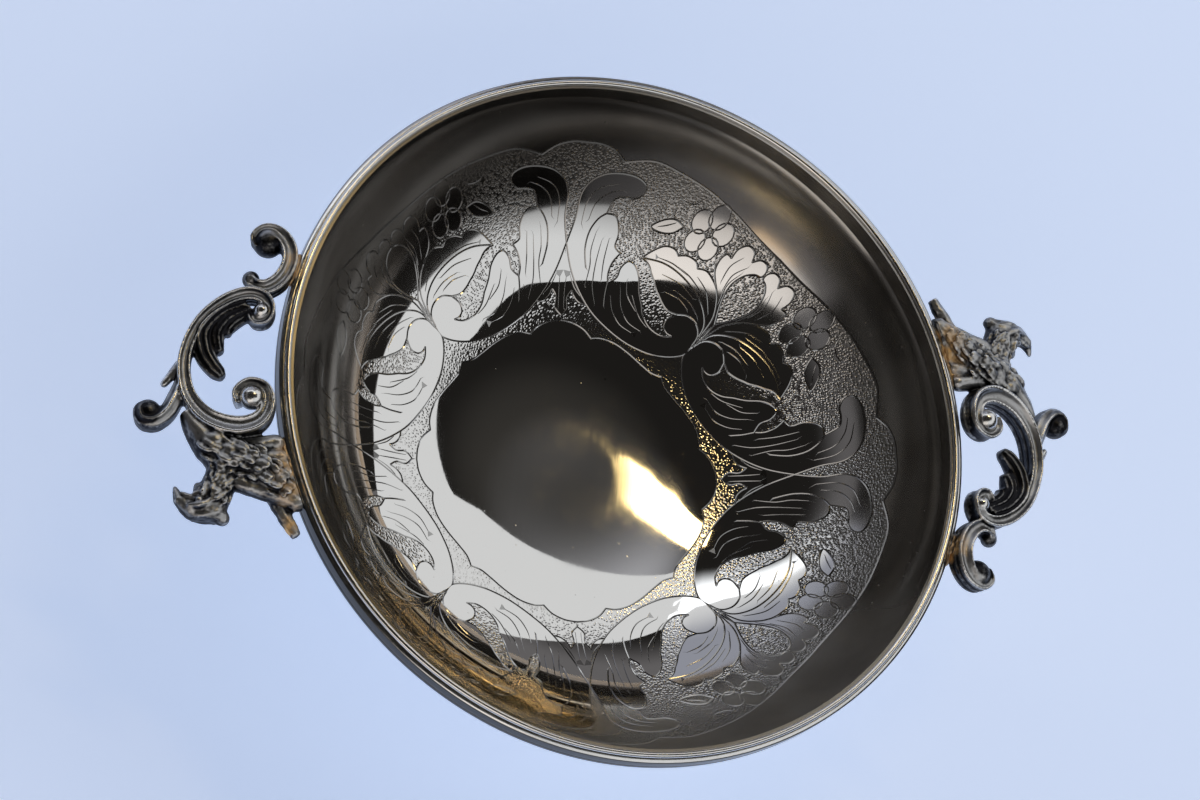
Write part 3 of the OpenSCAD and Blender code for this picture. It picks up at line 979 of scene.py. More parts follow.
# S-scroll, from its small curl to its large one
S_SCROLL = [
    (6.5, -8.6, 0, 1.8, 3), (5.4, -7.3, 0, 2.2, 3.9), (3.4, -7.2, -0.1, 2.5, 4.1),
    (1.4, -8.9, -0.2, 2.6, 4.4), (0.3, -11.7, -0.2, 2.6, 4.4), (0.6, -14.4, -0.2, 2.7, 4.4),
    (2.2, -16.6, -0.1, 2.7, 4.1), (4.5, -17.2, 0, 2.6, 4.1), (6.1, -15.9, 0, 2.3, 3.9),
    (5.4, -14.6, 0, 1.8, 3.5)]
LEAF_LOBES = [
    [(6.5, -4.2, -0.2, 2.2, 3.4), (10, -2.2, -0.2, 3.2, 4.1), (12.6, 1.4, -0.2, 3.8, 4.3),
     (12.1, 4.8, -0.3, 3.6, 4.1), (10.6, 7, -0.5, 3, 3.7), (9.4, 8, -0.7, 2.5, 3.2),
     (8.7, 8.6, -0.8, 1.4, 2.2)],
    [(5.6, -3.5, -0.2, 1.8, 3), (8.8, -1.5, -0.3, 2.6, 3.8), (10.5, 1.2, -0.4, 2.8, 3.8),
     (10.2, 3.4, -0.5, 2.4, 3.3), (9.5, 4.5, -0.6, 1.4, 2.2)],
    [(5.2, -2.8, -0.3, 1.5, 2.6), (7.6, -1.2, -0.4, 2.1, 3.3), (8.8, 0.3, -0.5, 1.9, 3),
     (8.7, 1.4, -0.6, 1.1, 2)],
]
OUTER_CURL = [
    (15, 9.2, 0, 1.6, 3), (15.6, 13, 0, 2.7, 4.5), (16.7, 16, 0, 2.8, 5), (18.5, 17.7, 0, 2.7, 5.2),
    (20.3, 17.6, 0, 2.6, 5.2), (20.9, 16.1, 0, 2.4, 4.9), (20.4, 15.1, 0, 1.7, 4)]
THORN = ((15.6, 7.4, 0, 1), (17.8, 10.9, 0, 0.65))
# Balls in the middle of each curl: x, y, z and radius. The bright ones take a painted highlight;
# the black ones are painted dark
BRIGHT_BALLS = [(3.6, 12.1, 0.9, 2.05), (3.8, -3.1, 0.7, 1.35)]
BLACK_BALLS = [(4.2, -15.5, -0.3, 2.5), (6.2, -8.6, 0.1, 1.45), (19.7, 16.2, 0.2, 2.2)]
BALLS = BRIGHT_BALLS + BLACK_BALLS
# Where the C-scroll's upper volute begins
VOLUTE_START = 11.5

# The bird, in a plan of its own that falls away less
BIRD_BODY = [
    (13.6, 15.6, -0.9, 1.6, 3.1), (12, 17.6, -1.1, 3.4, 4.4), (9, 20, -1.3, 5.8, 5.6),
    (5.4, 21.8, -1.3, 7.2, 6.2), (1.2, 22.6, -1.1, 7.6, 5.6), (-2.6, 23.3, -0.9, 7.4, 4.6),
    (-6.2, 24, -0.7, 7.2, 4)]
WING = [
    (6.4, 20.8, 0, 2.2, 3.4), (4, 21.8, 0.4, 4.4, 4.2), (0.6, 23.6, 0.3, 5.4, 4.2),
    (-3, 25.6, 0.1, 5, 3.8), (-6.6, 28.2, -0.2, 3.4, 3)]
BIRD_NECK = [
    (6, 22.2, -1.3, 5.6, 5.3), (6.4, 25.8, -1.6, 5.4, 5), (7.3, 28.8, -1.8, 6, 4.9),
    (7.9, 31.2, -2, 6.2, 4.7), (7.9, 32.7, -2, 5.2, 3.6)]
TAIL = [
    (-1.4, 26.2, -1.1, 2.2, 2.6), (-3.4, 28.8, -1.1, 2.3, 2.4), (-5.5, 31.4, -1.1, 2.2, 2.3),
    (-6.8, 33, -1.1, 1.6, 1.8)]
BIRD_SPURS = [
    # crest, beak with its hook, chin
    ((6.6, 30.9, -1.8, 1.9), (5.3, 31.9, -1.8, 1.3)),
    ((10.2, 31.2, -1.9, 1.8), (12.3, 30.1, -1.8, 1.15)),
    ((12.3, 30.1, -1.8, 1.15), (13.4, 28.1, -1.9, 0.4)),
    ((9.1, 28.8, -1.9, 1.5), (9.7, 27.2, -1.9, 0.8)),
    # brow over the eye, and the line of the beak
    ((7.8, 29.9, 0.25, 0.5), (9.4, 31, 0.3, 0.55)), ((9.4, 31, 0.3, 0.55), (11, 31.1, -0.3, 0.4)),
    ((10.4, 29.8, -0.6, 0.45), (12.3, 29.1, -0.9, 0.35)),
    # cheek and the ridge of the crest
    ((8.3, 28.2, 0, 0.55), (10.2, 29, -0.4, 0.5)),
    ((6.3, 31.2, -0.4, 0.55), (8.4, 32.2, -0.3, 0.5)),
]
EYE = (9.6, 30, 0.15, 0.58)
LONG_FEATHERS = 5
# Small feathers: limb, first and last share of its length, rows, columns and size
FEATHERS = [(BIRD_BODY, 0.3, 0.66, 6, 5, 1.05), (BIRD_NECK, 0.12, 0.66, 6, 5, 0.75),
            (WING, 0.05, 0.8, 7, 4, 1.05)]
# Where the bird begins in its plan, and over what distance
BIRD_START, BIRD_FADE = 17.5, 2
VOXEL = 0.2


def ridged(count, depth):
    """Section of a flat bulge with ridges along its top, in shares of half its width and height."""
    across = np.linspace(0.96, -0.96, 8 * count + 1)
    groove = depth * np.sin(math.pi * count * (across + 1) / 2) ** 2
    top = list(zip(across, np.sqrt(1 - 0.85 * across * across) * (1 - groove)))
    return [(0, -1), (0.6, -0.85), (0.95, -0.35), *top, (-0.95, -0.35), (-0.6, -0.85)]


# A trough between two edges, the outer one higher, with a fluted inner wall
TROUGH = [(0, -1), (0.5, -0.95), (0.86, -0.78), (0.96, -0.5), (0.78, -0.32), (0.96, -0.12),
          (0.98, 0.08), (0.78, 0.26), (0.98, 0.44), (0.96, 0.64), (0.82, 0.8), (0.66, 0.76),
          (0.5, 0.64), (0.22, 0.58), (-0.08, 0.6), (-0.34, 0.7), (-0.5, 0.86), (-0.64, 0.98),
          (-0.82, 1), (-0.96, 0.9), (-1, 0.68), (-0.84, 0.4), (-0.86, -0.1), (-1, -0.4),
          (-0.86, -0.8), (-0.5, -0.97)]
OVAL = [(math.sin(a), -math.cos(a)) for a in np.linspace(0, 2 * math.pi, 25)[:-1]]


def limb(bm, stations, section):
    """Sweeps a section along stations, ring by ring, and closes its ends."""
    path = smooth(stations, 0.5)
    along = np.gradient(path[:, :2], axis=0)
    across = np.stack([along[:, 1], -along[:, 0]], 1) / np.linalg.norm(along, axis=1)[:, None]
    lofted(bm, [[(x + side[0] * u * width / 2, y + side[1] * u * width / 2, z + v * height / 2)
                 for u, v in section]
                for (x, y, z, width, height), side in zip(path, across)])


def ball(bm, x, y, z, radius, fineness=3):
    bmesh.ops.create_icosphere(bm, subdivisions=fineness, radius=radius,
                               matrix=Matrix.Translation((x, y, z)))


def spur(bm, start, end):
    """A tapered spike with round ends between two balls of x, y, z and radius."""
    ball(bm, *start, 2)
    ball(bm, *end, 2)
    a, b = Vector(start[:3]), Vector(end[:3])
    turn = (b - a).to_track_quat("Z", "Y").to_matrix().to_4x4()
    bmesh.ops.create_cone(bm, cap_ends=True, segments=16, radius1=start[3], radius2=end[3],
                          depth=(b - a).length, matrix=Matrix.Translation((a + b) / 2) @ turn)


def scale_feathers(bm, stations, first, last, rows, columns, size):
    """Lays rows of small overlapping feathers over the top of a swept limb."""
    path = smooth(stations, 0.5)
    along = np.gradient(path[:, :2], axis=0)
    along /= np.linalg.norm(along, axis=1)[:, None]
    for row in range(rows):
        k = int((first + (last - first) * row / (rows - 1)) * (len(path) - 1))
        x, y, z, width, height = path[k]
        ahead = math.atan2(along[k, 1], along[k, 0])
        for column in range(columns):
            v = (column - (columns - 1) / 2 + 0.5 * (row % 2) - 0.25) / columns * 1.8
            v += 0.16 * noise.noise(Vector((row * 1.7, column * 2.3, size)))
            if abs(v) > 0.95:
                continue
            out = v * width / 2
            spot = Vector((x + along[k, 1] * out, y - along[k, 0] * out,
                           z + math.sqrt(1 - v * v) * height / 2))
            own = size * (1 + 0.6 * noise.noise(spot * 0.9))
            lean = Euler((-v * 1.1, -0.3, ahead + 0.5 * noise.noise(spot * 0.6)), "XYZ")
            shape = Matrix.Diagonal((own * 1.3, own * 0.72, own * 0.34, 1))
            bmesh.ops.create_icosphere(
                bm, subdivisions=2, radius=1,
                matrix=Matrix.Translation(spot) @ lean.to_matrix().to_4x4() @ shape)


def scrolls(bm):
    """The C-scroll, the S-scroll, the leaf and the outer curl."""
    limb(bm, C_SCROLL, TROUGH)
    limb(bm, S_SCROLL, TROUGH)
    for lobe in LEAF_LOBES:
        limb(bm, lobe, ridged(3, 0.26))
    limb(bm, OUTER_CURL, ridged(2, 0.2))
    spur(bm, *THORN)
    for knob in BALLS:
        ball(bm, *knob)


def bird(bm):
    """The bird with its wing, tail and feathers."""
    limb(bm, BIRD_BODY, OVAL)
    limb(bm, BIRD_NECK, OVAL)
    limb(bm, WING, ridged(4, 0.13))
    limb(bm, TAIL, ridged(2, 0.12))
    for start, end in BIRD_SPURS:
        spur(bm, start, end)
    ball(bm, *EYE)
    for k in range(LONG_FEATHERS):
        spur(bm, (3.4, 20 + 1.5 * k, -0.3, 1.6), (-1.4 - 1.15 * k, 18.4 + 2.35 * k, 0, 1.5))
    for stations, first, last, rows, columns, size in FEATHERS:
        scale_feathers(bm, stations, first, last, rows, columns, size)


def casting(scroll_seat, bird_seat):
    """The whole casting as overlapping closed limbs, each group at its own seat, in millimetres."""
    bm = bmesh.new()
    scrolls(bm)
    bmesh.ops.transform(bm, verts=bm.verts[:], matrix=scroll_seat)
    count = len(bm.verts)
    bird(bm)
    bmesh.ops.transform(bm, verts=bm.verts[:][count:], matrix=bird_seat)
    bmesh.ops.recalc_face_normals(bm, faces=bm.faces[:])
    return bm


def finished_mesh(piece):
    """The piece's mesh with its modifiers worked in."""
    graph = bpy.context.evaluated_depsgraph_get()
    mesh = bpy.data.meshes.new_from_object(piece.evaluated_get(graph))
    old = piece.data
    piece.modifiers.clear()
    piece.data = mesh
    bpy.data.meshes.remove(old)
    return mesh


def eased(spots, pairs, rounds):
    """Spots drawn towards the middle of their neighbours, a number of times."""
    count = np.bincount(pairs.ravel(), minlength=len(spots)).clip(1)[:, None]
    for _ in range(rounds):
        drawn = np.zeros_like(spots)
        for axis in range(3):
            drawn[:, axis] = (np.bincount(pairs[:, 0], spots[pairs[:, 1], axis], len(spots))
                              + np.bincount(pairs[:, 1], spots[pairs[:, 0], axis], len(spots)))
        spots = 0.5 * spots + 0.5 * drawn / count
    return spots


def in_plan(spots, seat):
    """Spots of the finished casting as x and y of the plan that was put at a seat."""
    back = np.array(seat.inverted())
    return spots @ back[:2, :3].T + back[:2, 3]


def close_to(plan, points, reach, edge):
    """1 within reach of any of the points, and 0 where it is an edge's width further off."""
    gap = np.full(len(plan), reach + edge)
    for x, y in points:
        gap = np.minimum(gap, np.hypot(plan[:, 0] - x, plan[:, 1] - y))
    return np.clip((reach + edge - gap) / edge, 0, 1)


def on_bird(plan):
    """1 on the bird and 0 on the scrolls."""
    return np.clip((plan[:, 1] - BIRD_START) / BIRD_FADE, 0, 1)


def roughened(spots, normals, plan):
    """Lumps the bird's skin as an old casting is."""
    lumps = np.array([noise.noise(Vector(spot) * 0.7) + 0.4 * noise.noise(Vector(spot) * 1.9)
                      for spot in spots])
    return spots + normals * (0.14 * on_bird(plan) * lumps)[:, None]


def outer_edge(plan, stations):
    """1 on the outer edge of a swept limb and 0 on the rest."""
    path = smooth(stations, 0.3)
    along = np.gradient(path[:, :2], axis=0)
    along /= np.linalg.norm(along, axis=1)[:, None]
    gap = np.full(len(plan), 9.0)
    side = np.zeros(len(plan))
    for (x, y, _, width, _), (ax, ay) in zip(path, along):
        dx, dy = plan[:, 0] - x, plan[:, 1] - y
        away = np.hypot(dx, dy) / width
        nearer = away < gap
        gap[nearer] = away[nearer]
        side[nearer] = (dx[nearer] * ay - dy[nearer] * ax) / width
    return np.clip((-side - 0.24) / 0.1, 0, 1) * np.clip((0.66 - gap) / 0.08, 0, 1)


def paint_wear_and_light(mesh, seat, bird_seat, stains, shine):
    """Stores where the casting is rubbed, hollow or stained by solder, and its painted light and
    shade: lit tops, painted highlights on the knobs and the scroll's outer edge, and the leaf and
    black balls painted dark; in millimetres.
    """
    spots = fetched(mesh.vertices, "co", 3)
    normals = fetched(mesh.vertex_normals, "vector", 3)
    pairs = fetched(mesh.edges, "vertices", 2, np.int32)
    plan = in_plan(spots, seat)
    ridge = ((spots - eased(spots, pairs, 8)) * normals).sum(axis=1)
    rise = ((spots - eased(spots, pairs, 60)) * normals).sum(axis=1)
    gilt = np.zeros(len(spots))
    for centre, reach in stains:
        away = np.linalg.norm((spots - np.array(centre)) / np.array(reach), axis=1)
        gilt = np.maximum(gilt, 1 - away)
    # Facing upwards: the finish paints tops lighter and sides darker, as painted light and shade
    up = normals[:, 2]
    ribbons = np.concatenate([smooth(C_SCROLL, 0.4)[4:-4, :2], smooth(S_SCROLL, 0.4)[3:-6, :2]])
    trough = close_to(plan, ribbons, 0.7, 0.5) * np.clip(2 * up - 0.6, 0, 1)
    # Painted highlight on the bright balls and, by shine, on the upper volute
    knob = np.maximum.reduce([close_to(plan, [(x, y)], radius - 0.2, 0.4)
                              for x, y, _, radius in BRIGHT_BALLS])
    volute = [spot for spot in smooth(C_SCROLL, 0.4)[:, :2] if spot[1] > VOLUTE_START]
    knob = np.maximum(knob, shine * close_to(plan, volute, 1.1, 0.8))
    # Painted dark: the middle of the leaf's lobes, as painted shade, and the black balls; not in
    # the troughs
    black = [close_to(plan, smooth(lobe, 0.4)[3:, :2], 0.25 * max(t[3] for t in lobe), 0.6)
             for lobe in LEAF_LOBES]
    black += [close_to(plan, [(x, y)], radius - 0.1, 0.5) for x, y, _, radius in BLACK_BALLS]
    black = np.maximum.reduce(black) * (1 - trough)
    # The C-scroll's outer edge: rubbed, with a painted highlight
    edge = outer_edge(plan, C_SCROLL) * np.clip(2 * up + 0.2, 0, 1)
    worn_and_lit = (0.05 + ridge / 0.11 + rise / 0.7) * (1 - 0.4 * on_bird(in_plan(spots, bird_seat)))
    worn_and_lit += 0.4 * knob + 0.45 * edge
    hollow = (0.25 - ridge / 0.1 - rise / 0.7) * (1 - 0.85 * trough) * (1 - 0.8 * knob)
    for name, values in zip(WEAR_AND_LIGHT, (worn_and_lit, hollow, 1.6 * gilt, up, black, knob)):
        layer = mesh.attributes.new(name, "FLOAT", "POINT")
        layer.data.foreach_set("value", np.clip(values, 0, 1).astype(np.float32))


CUTTER_STEPS = 240
# How bright the painted highlight on the upper volute of each handle is
RIGHT_SHINE, LEFT_SHINE = 0.2, 1.0


class DISH_OT_handles(bpy.types.Operator):
    """Make the two cast handles with their scrolls, leaf and bird"""

    bl_idname = "dish.make_handles"
    bl_label = "Handles"

    def execute(self, context):
        s = sizes()
        seat = (s.height - s.bead_radius + s.height - s.rim_height) / 2 / MM
        seats = [Matrix.Translation((s.rim_radius / MM, 0, seat + rise / MM))
                 @ Matrix.Rotation(droop, 4, "Y")
                 for rise, droop in ((s.scroll_rise, s.scroll_droop), (s.bird_rise, s.bird_droop))]
        right = piece_from(casting(*seats), "handle_cast_right")
        skin = right.modifiers.new("skin", "REMESH")
        skin.mode = "VOXEL"
        skin.voxel_size = VOXEL
        mesh = finished_mesh(right)
        pairs = fetched(mesh.edges, "vertices", 2, np.int32)
        spots = eased(fetched(mesh.vertices, "co", 3), pairs, 2)
        normals = fetched(mesh.vertex_normals, "vector", 3)
        spots = roughened(spots, normals, in_plan(spots, seats[1]))
        mesh.vertices.foreach_set("co", spots.ravel())

        cutter_mesh = bmesh.new()
        radius, top = (s.rim_radius + s.solder) / MM, 2 * s.height / MM
        spun(cutter_mesh, [(0, 0), (radius, 0), (radius, top), (0, top)], CUTTER_STEPS)
        bmesh.ops.remove_doubles(cutter_mesh, verts=cutter_mesh.verts[:], dist=1e-4)
        bmesh.ops.recalc_face_normals(cutter_mesh, faces=cutter_mesh.faces[:])
        cutter = piece_from(cutter_mesh, "rim_curve")
        cut = right.modifiers.new("back", "BOOLEAN")
        cut.operation = "DIFFERENCE"
        cut.object = cutter
        cut.solver = "EXACT"
        mesh = finished_mesh(right)
        bpy.data.objects.remove(cutter)
        left = bpy.data.objects.new("handle_cast_left", mesh.copy())
        bpy.context.scene.collection.objects.link(left)
        # Where solder has stained the castings: middle and reach. The left bird's tail has more
        stains = [((55.4, 23, seat), (4.6, 8, 6)), ((59, -12, seat), (3.2, 5, 6))]
        tail_stain = ((53.6, 32, seat), (3.6, 5, 8))
        paint_wear_and_light(mesh, *seats, stains, RIGHT_SHINE)
        paint_wear_and_light(left.data, *seats, stains + [tail_stain], LEFT_SHINE)
        for handle, turn in ((right, 0), (left, math.pi)):
            handle.data.transform(Matrix.Rotation(turn, 4, "Z") @ Matrix.Scale(MM, 4))
            handle.data.shade_smooth()

        finish = cast_silver()
        place(right, "handle_right", "cast_silver", finish)
        place(left, "handle_left", "cast_silver", finish)
        return {"FINISHED"}


# Seams of each handle: what they hold, their middle along the rim's chord, and their length
SEAMS = [("bird", 0.0224, 0.0115), ("scroll", -0.012, 0.006)]
SEAM_STEPS, SEAM_SIDES = 36, 20
# Their middle below the rim's top, and their half sizes outwards, in lumps and upwards
SEAM_DROP, SEAM_OUT, SEAM_LUMP, SEAM_UP = 0.0019, 0.00075, 0.0003, 0.0012


class DISH_OT_solder(bpy.types.Operator):
    """Make the four solder seams between the handles and the rim"""

    bl_idname = "dish.make_solder"
    bl_label = "Solder seams"

    def execute(self, context):
        s = sizes()
        finish = old_solder()
        for side, half_turn in (("right", 0), ("left", 1)):
            for end, along, run in SEAMS:
                middle = math.asin(along / s.rim_radius) + half_turn * math.pi
                half = run / s.rim_radius / 2
                bm = bmesh.new()
                lofted(bm, [self.ring(middle + f * half, f, half_turn)
                            for f in (2 * k / SEAM_STEPS - 1 for k in range(SEAM_STEPS + 1))])
                bmesh.ops.recalc_face_normals(bm, faces=bm.faces[:])
                piece = piece_from(bm, f"seam_{side}_{end}")
                place(piece, f"solder_{side}_{end}", "solder", finish)
        return {"FINISHED"}

    def ring(self, a, f, half_turn):
        """Points round a seam at an angle round the dish, where f runs from -1 to 1 along it."""
        s = sizes()
        seat = s.height - SEAM_DROP
        swell = max(0.06, (1 - abs(f) ** 3) ** 0.5)
        lump = noise.noise(Vector((math.cos(a) * 70, math.sin(a) * 70, half_turn)))
        points = []
        for j in range(SEAM_SIDES):
            b = 2 * math.pi * j / SEAM_SIDES
            size = swell * (1 + 0.25 * noise.noise(Vector((a * 90, b * 1.3, half_turn))))
            r = s.rim_radius + s.solder / 2 + (SEAM_OUT + SEAM_LUMP * lump) * size * math.cos(b)
            points.append((r * math.cos(a), r * math.sin(a), seat + SEAM_UP * size * math.sin(b)))
        return points


def heading(azimuth, polar):
    """Direction at an azimuth round the dish and an angle down from straight up, in degrees."""
    a, p = math.radians(azimuth), math.radians(polar)
    return Vector((math.sin(p) * math.cos(a), math.sin(p) * math.sin(a), math.cos(p)))


def overhead(x, y, distance=1.0):
    """The point over the dish at x and y, as seen from straight above when one metre off."""
    return Vector((x, y, math.sqrt(1 - x * x - y * y))) * distance


# Cloths hung round the dish: azimuth, and how far down from straight up their two edges are
WHITE_CLOTH = [(-80, 24, 56), (-65, 22, 56), (-50, 22, 57), (-30, 25, 57), (-19, 29.5, 57),
               (0, 30.5, 58), (12, 31.5, 61), (20, 35, 62), (29, 36.5, 63.5), (37, 37.5, 69),
               (45, 37.5, 78), (50, 33, 78), (55, 31, 74), (60, 31, 66), (70, 31, 54),
               (80, 31, 50), (90, 30, 45)]
BRIGHT_CLOTH = [(88, 31, 44), (96, 32, 42), (106, 34, 44), (116, 38, 48), (126, 44, 54),
                (136, 50, 60), (150, 56, 66)]
DARK_CLOTHS = (
    [(-62, 56.4, 89), (-50, 57.4, 89), (-30, 57.4, 89), (0, 58.4, 89), (12, 61.4, 89),
     (29, 63.9, 89), (36, 68, 89)],
    [(152, 69, 89), (184, 68, 89), (216, 69, 89)])
BLUE_CLOTH = [(90, 44, 80), (96, 41.6, 84), (106, 43.6, 86), (120, 49.6, 88), (136, 59.6, 88),
              (150, 65.6, 88)]
WARM_CLOTH = [(-140, 54, 70), (-126, 44, 70), (-114, 34, 68), (-99, 29.5, 64), (-82, 25, 58)]
# The lit tube, one metre off: its corners as seen from straight above, where its end turns dim and
# to what share
TUBE = [(0.2705, 0.357), (0.2695, 0.3535), (0.262, 0.3485), (0.2487, 0.3443), (0.215, 0.343),
        (0.135, 0.3575), (-0.049, 0.425), (-0.034, 0.463), (0.032, 0.464), (0.165, 0.4025),
        (0.245, 0.3687), (0.265, 0.362)]
TUBE_END = (0.225, 0.268)
TUBE_DIM = 0.17
# Glows beside it: middle, reach and colour
GLOWS = [((0.3, 0.38), 0.22, (0.036, 0.034, 0.031)), ((0.17, 0.5), 0.22, (0.36, 0.365, 0.39))]
CLOTH_AWAY, GLOW_AWAY = 0.9, 1.02
GLOW_SHEET = 0.3

ROOM_DARK = (0.012, 0.0112, 0.0104)
ROOM_PALE = (0.13, 0.126, 0.13)
# How high the paler part of the room reaches, as the upright part of a direction
ROOM_EDGE = (0.4, 0.66)
WHITE = (0.96, 0.98, 1)
COOL_WHITE = (0.92, 0.955, 1)
BLUE = (0.8, 0.84, 1)
BLUE_TOP = (1.9, 1.94, 2)
WARM_WHITE = (1, 0.95, 0.91)
TUBE_YELLOW = (1, 0.74, 0.33)
LAMP_ORANGE = (1, 0.66, 0.3)
FLOOR_GLOW = (0.28, 0.372, 0.57)
FLOOR_RADIUS = 8
FIBRE = 1 / 900

CAMERA_SPOT = (-0.1993, -0.2583, 0.6418)
CAMERA_TURN = (20.733, -19.962, 5.225)
CAMERA_LENS = 123.64
CAMERA_NEAR = 0.01


def cloth(name, edges, colour, strength, soft=0.0, top=None):
    """A cloth lit from behind. Its top's colour gives way to its own over a soft share of it."""
    azimuths, uppers, lowers = zip(*edges)
    bm = bmesh.new()
    bmesh.ops.create_grid(bm, x_segments=80, y_segments=4, size=1)
    drop = bm.verts.layers.float.new("drop")
    for vert in bm.verts:
        vert[drop] = (vert.co.y + 1) / 2
        azimuth = azimuths[0] + (azimuths[-1] - azimuths[0]) * (vert.co.x + 1) / 2
        upper, lower = (np.interp(azimuth, azimuths, edge) for edge in (uppers, lowers))
        vert.co = heading(azimuth, upper + (lower - upper) * vert[drop]) * CLOTH_AWAY
    f = hang(bm, name, colour, strength)
    if soft:
        f.feed(Emission_Color=f.attribute("drop").step(0, soft).mix(top, colour))


def tube(name, colour, strength):
    """A lit tube over the dish, dim at one end."""
    bm = bmesh.new()
    bm.faces.new([bm.verts.new(overhead(x, y)) for x, y in TUBE])
    f = hang(bm, name, colour, strength)
    dim = f.along((1, 0, 0)).step(*TUBE_END)
    f.feed(Emission_Color=dim.mix(colour, darker(colour, TUBE_DIM)))


def glow(name):
    """One dark sheet behind the tube, with the round glows that fade into it."""
    centre = overhead(*GLOWS[0][0], GLOW_AWAY)
    turn = centre.to_track_quat("Z", "Y").to_matrix().to_4x4()
    bm = bmesh.new()
    bmesh.ops.create_circle(bm, cap_ends=True, segments=64, radius=GLOW_SHEET,
                            matrix=Matrix.Translation(centre) @ turn)
    f = hang(bm, name, ROOM_DARK, 1.0)
    shade = ROOM_DARK
    for middle, reach, colour in GLOWS:
        gap = f.vector("DISTANCE", f.place, overhead(*middle, GLOW_AWAY))
        shade = gap.step(0.0, reach).mix(colour, shade)
    f.feed(Emission_Color=shade)


def hang(bm, name, colour, strength):
    """Hangs a lit sheet over the dish, out of the camera's sight. Gives its finish."""
    hung = piece_from(bm, name)
    hung.visible_camera = False
    hung.visible_shadow = False
    f = Finish(name, metal=0.0)
    hung.data.materials.append(f.feed(
        Base_Color=(0, 0, 0, 1), Specular_IOR_Level=0.0, Emission_Color=(*colour, 1),
        Emission_Strength=strength))
    return f


def lamp(name, azimuth, polar, size, colour, radiance):
    """A soft box one metre off that faces the dish, as bright as radiance seen from it."""
    light = bpy.data.lights.new(name, "AREA")
    light.shape = "RECTANGLE"
    light.size, light.size_y = size
    light.color = colour
    light.energy = radiance * math.pi * size[0] * size[1]
    box = bpy.data.objects.new(name, light)
    spot = heading(azimuth, polar)
    box.matrix_world = Matrix.Translation(spot) @ spot.to_track_quat("Z", "Y").to_matrix().to_4x4()
    bpy.context.scene.collection.objects.link(box)


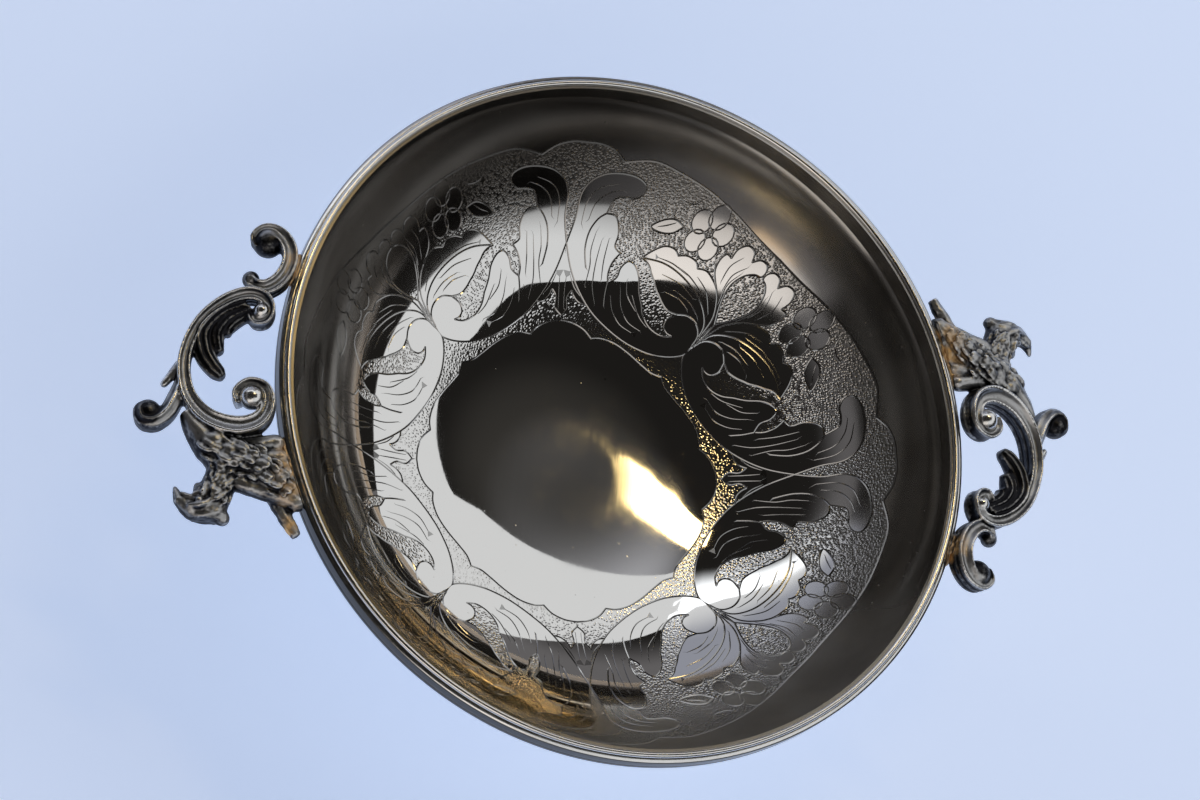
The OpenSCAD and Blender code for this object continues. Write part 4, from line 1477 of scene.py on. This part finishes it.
class DISH_OT_stage(bpy.types.Operator):
    """Set the floor, the soft light and the camera"""

    bl_idname = "dish.set_stage"
    bl_label = "Stage"

    def execute(self, context):
        scene = context.scene
        scene.view_settings.view_transform = "Standard"
        self.floor()
        cloth("white cloth", WHITE_CLOTH, WHITE, 0.72)
        cloth("bright cloth", BRIGHT_CLOTH, COOL_WHITE, 1.5, 0.5, ROOM_DARK)
        cloth("blue cloth", BLUE_CLOTH, BLUE, 0.36, 0.3, BLUE_TOP)
        cloth("warm cloth", WARM_CLOTH, WARM_WHITE, 0.88)
        for cover in DARK_CLOTHS:
            cloth("dark cloth", cover, ROOM_DARK, 1.0)
        self.room(scene)
        tube("warm tube", TUBE_YELLOW, 7.5)
        glow("tube glow")
        lamp("low lamp", 238, 70, (0.25, 0.1), LAMP_ORANGE, 1.0)
        camera = bpy.data.cameras.new("camera")
        camera.lens = CAMERA_LENS
        camera.sensor_width = 36
        camera.clip_start = CAMERA_NEAR
        view = bpy.data.objects.new("camera", camera)
        view.location = CAMERA_SPOT
        view.rotation_euler = tuple(math.radians(a) for a in CAMERA_TURN)
        scene.collection.objects.link(view)
        scene.camera = view
        return {"FINISHED"}

    def floor(self):
        """Pale paper, with the same glow to the camera and to the reflections in the dish."""
        bm = bmesh.new()
        bmesh.ops.create_circle(bm, cap_ends=True, segments=96, radius=FLOOR_RADIUS)
        floor = piece_from(bm, "floor")
        f = Finish("pale paper", metal=0.0)
        colour = colours().floor
        seen = sum(f.start.node("ShaderNodeLightPath", out=ray)
                   for ray in ("Is Camera Ray", "Is Glossy Ray", "Is Transmission Ray"))
        glow = seen.maths("MINIMUM", seen, 1.0).mix((0, 0, 0), FLOOR_GLOW)
        fibre = f.noise(FIBRE, 4).step(0.3, 0.7)
        floor.data.materials.append(f.feed(
            Base_Color=(fibre * 0.06).mix(colour, darker(colour, 0.8)), Emission_Color=glow,
            Emission_Strength=1.0, Roughness=0.9))

    def room(self, scene):
        """A room that is dark over the dish and paler round it."""
        world = bpy.data.worlds.new("room")
        scene.world = world
        world.use_nodes = True
        tree = world.node_tree
        direction = Wire(tree).node("ShaderNodeTexCoord", out="Generated")
        up = direction.node("ShaderNodeVectorMath", {"operation": "DOT_PRODUCT"},
                            {0: direction, 1: (0, 0, 1)}, out="Value")
        colour = up.step(*ROOM_EDGE).mix(ROOM_PALE, ROOM_DARK)
        tree.links.new(colour.socket, tree.nodes["Background"].inputs["Color"])


class DISH_PT_panel(bpy.types.Panel):
    """Lists the dish's pieces and their sizes"""

    bl_label = "Candy dish"
    bl_idname = "DISH_PT_panel"
    bl_space_type = "VIEW_3D"
    bl_region_type = "UI"
    bl_category = "Candy dish"

    def draw(self, context):
        for operator in PIECES:
            self.layout.operator(operator.bl_idname)
        for group in (sizes(), engraving(), colours()):
            box = self.layout.box()
            for key in group.bl_rna.properties.keys():
                if key not in ("rna_type", "name"):
                    box.prop(group, key)


PIECES = (DISH_OT_bowl, DISH_OT_rim, DISH_OT_foot, DISH_OT_handles, DISH_OT_solder, DISH_OT_stage)
CLASSES = (DishSizes, EngravingSizes, DishColours) + PIECES + (DISH_PT_panel,)


def register():
    for cls in CLASSES:
        bpy.utils.register_class(cls)
    bpy.types.Scene.dish_sizes = bpy.props.PointerProperty(type=DishSizes)
    bpy.types.Scene.dish_engraving = bpy.props.PointerProperty(type=EngravingSizes)
    bpy.types.Scene.dish_colours = bpy.props.PointerProperty(type=DishColours)


def unregister():
    del bpy.types.Scene.dish_sizes
    del bpy.types.Scene.dish_engraving
    del bpy.types.Scene.dish_colours
    for cls in reversed(CLASSES):
        bpy.utils.unregister_class(cls)


def main():
    register()
    bpy.ops.dish.make_bowl()
    bpy.ops.dish.make_rim()
    bpy.ops.dish.make_foot()
    bpy.ops.dish.make_handles()
    bpy.ops.dish.make_solder()
    bpy.ops.dish.set_stage()


if __name__ == "__main__":
    main()
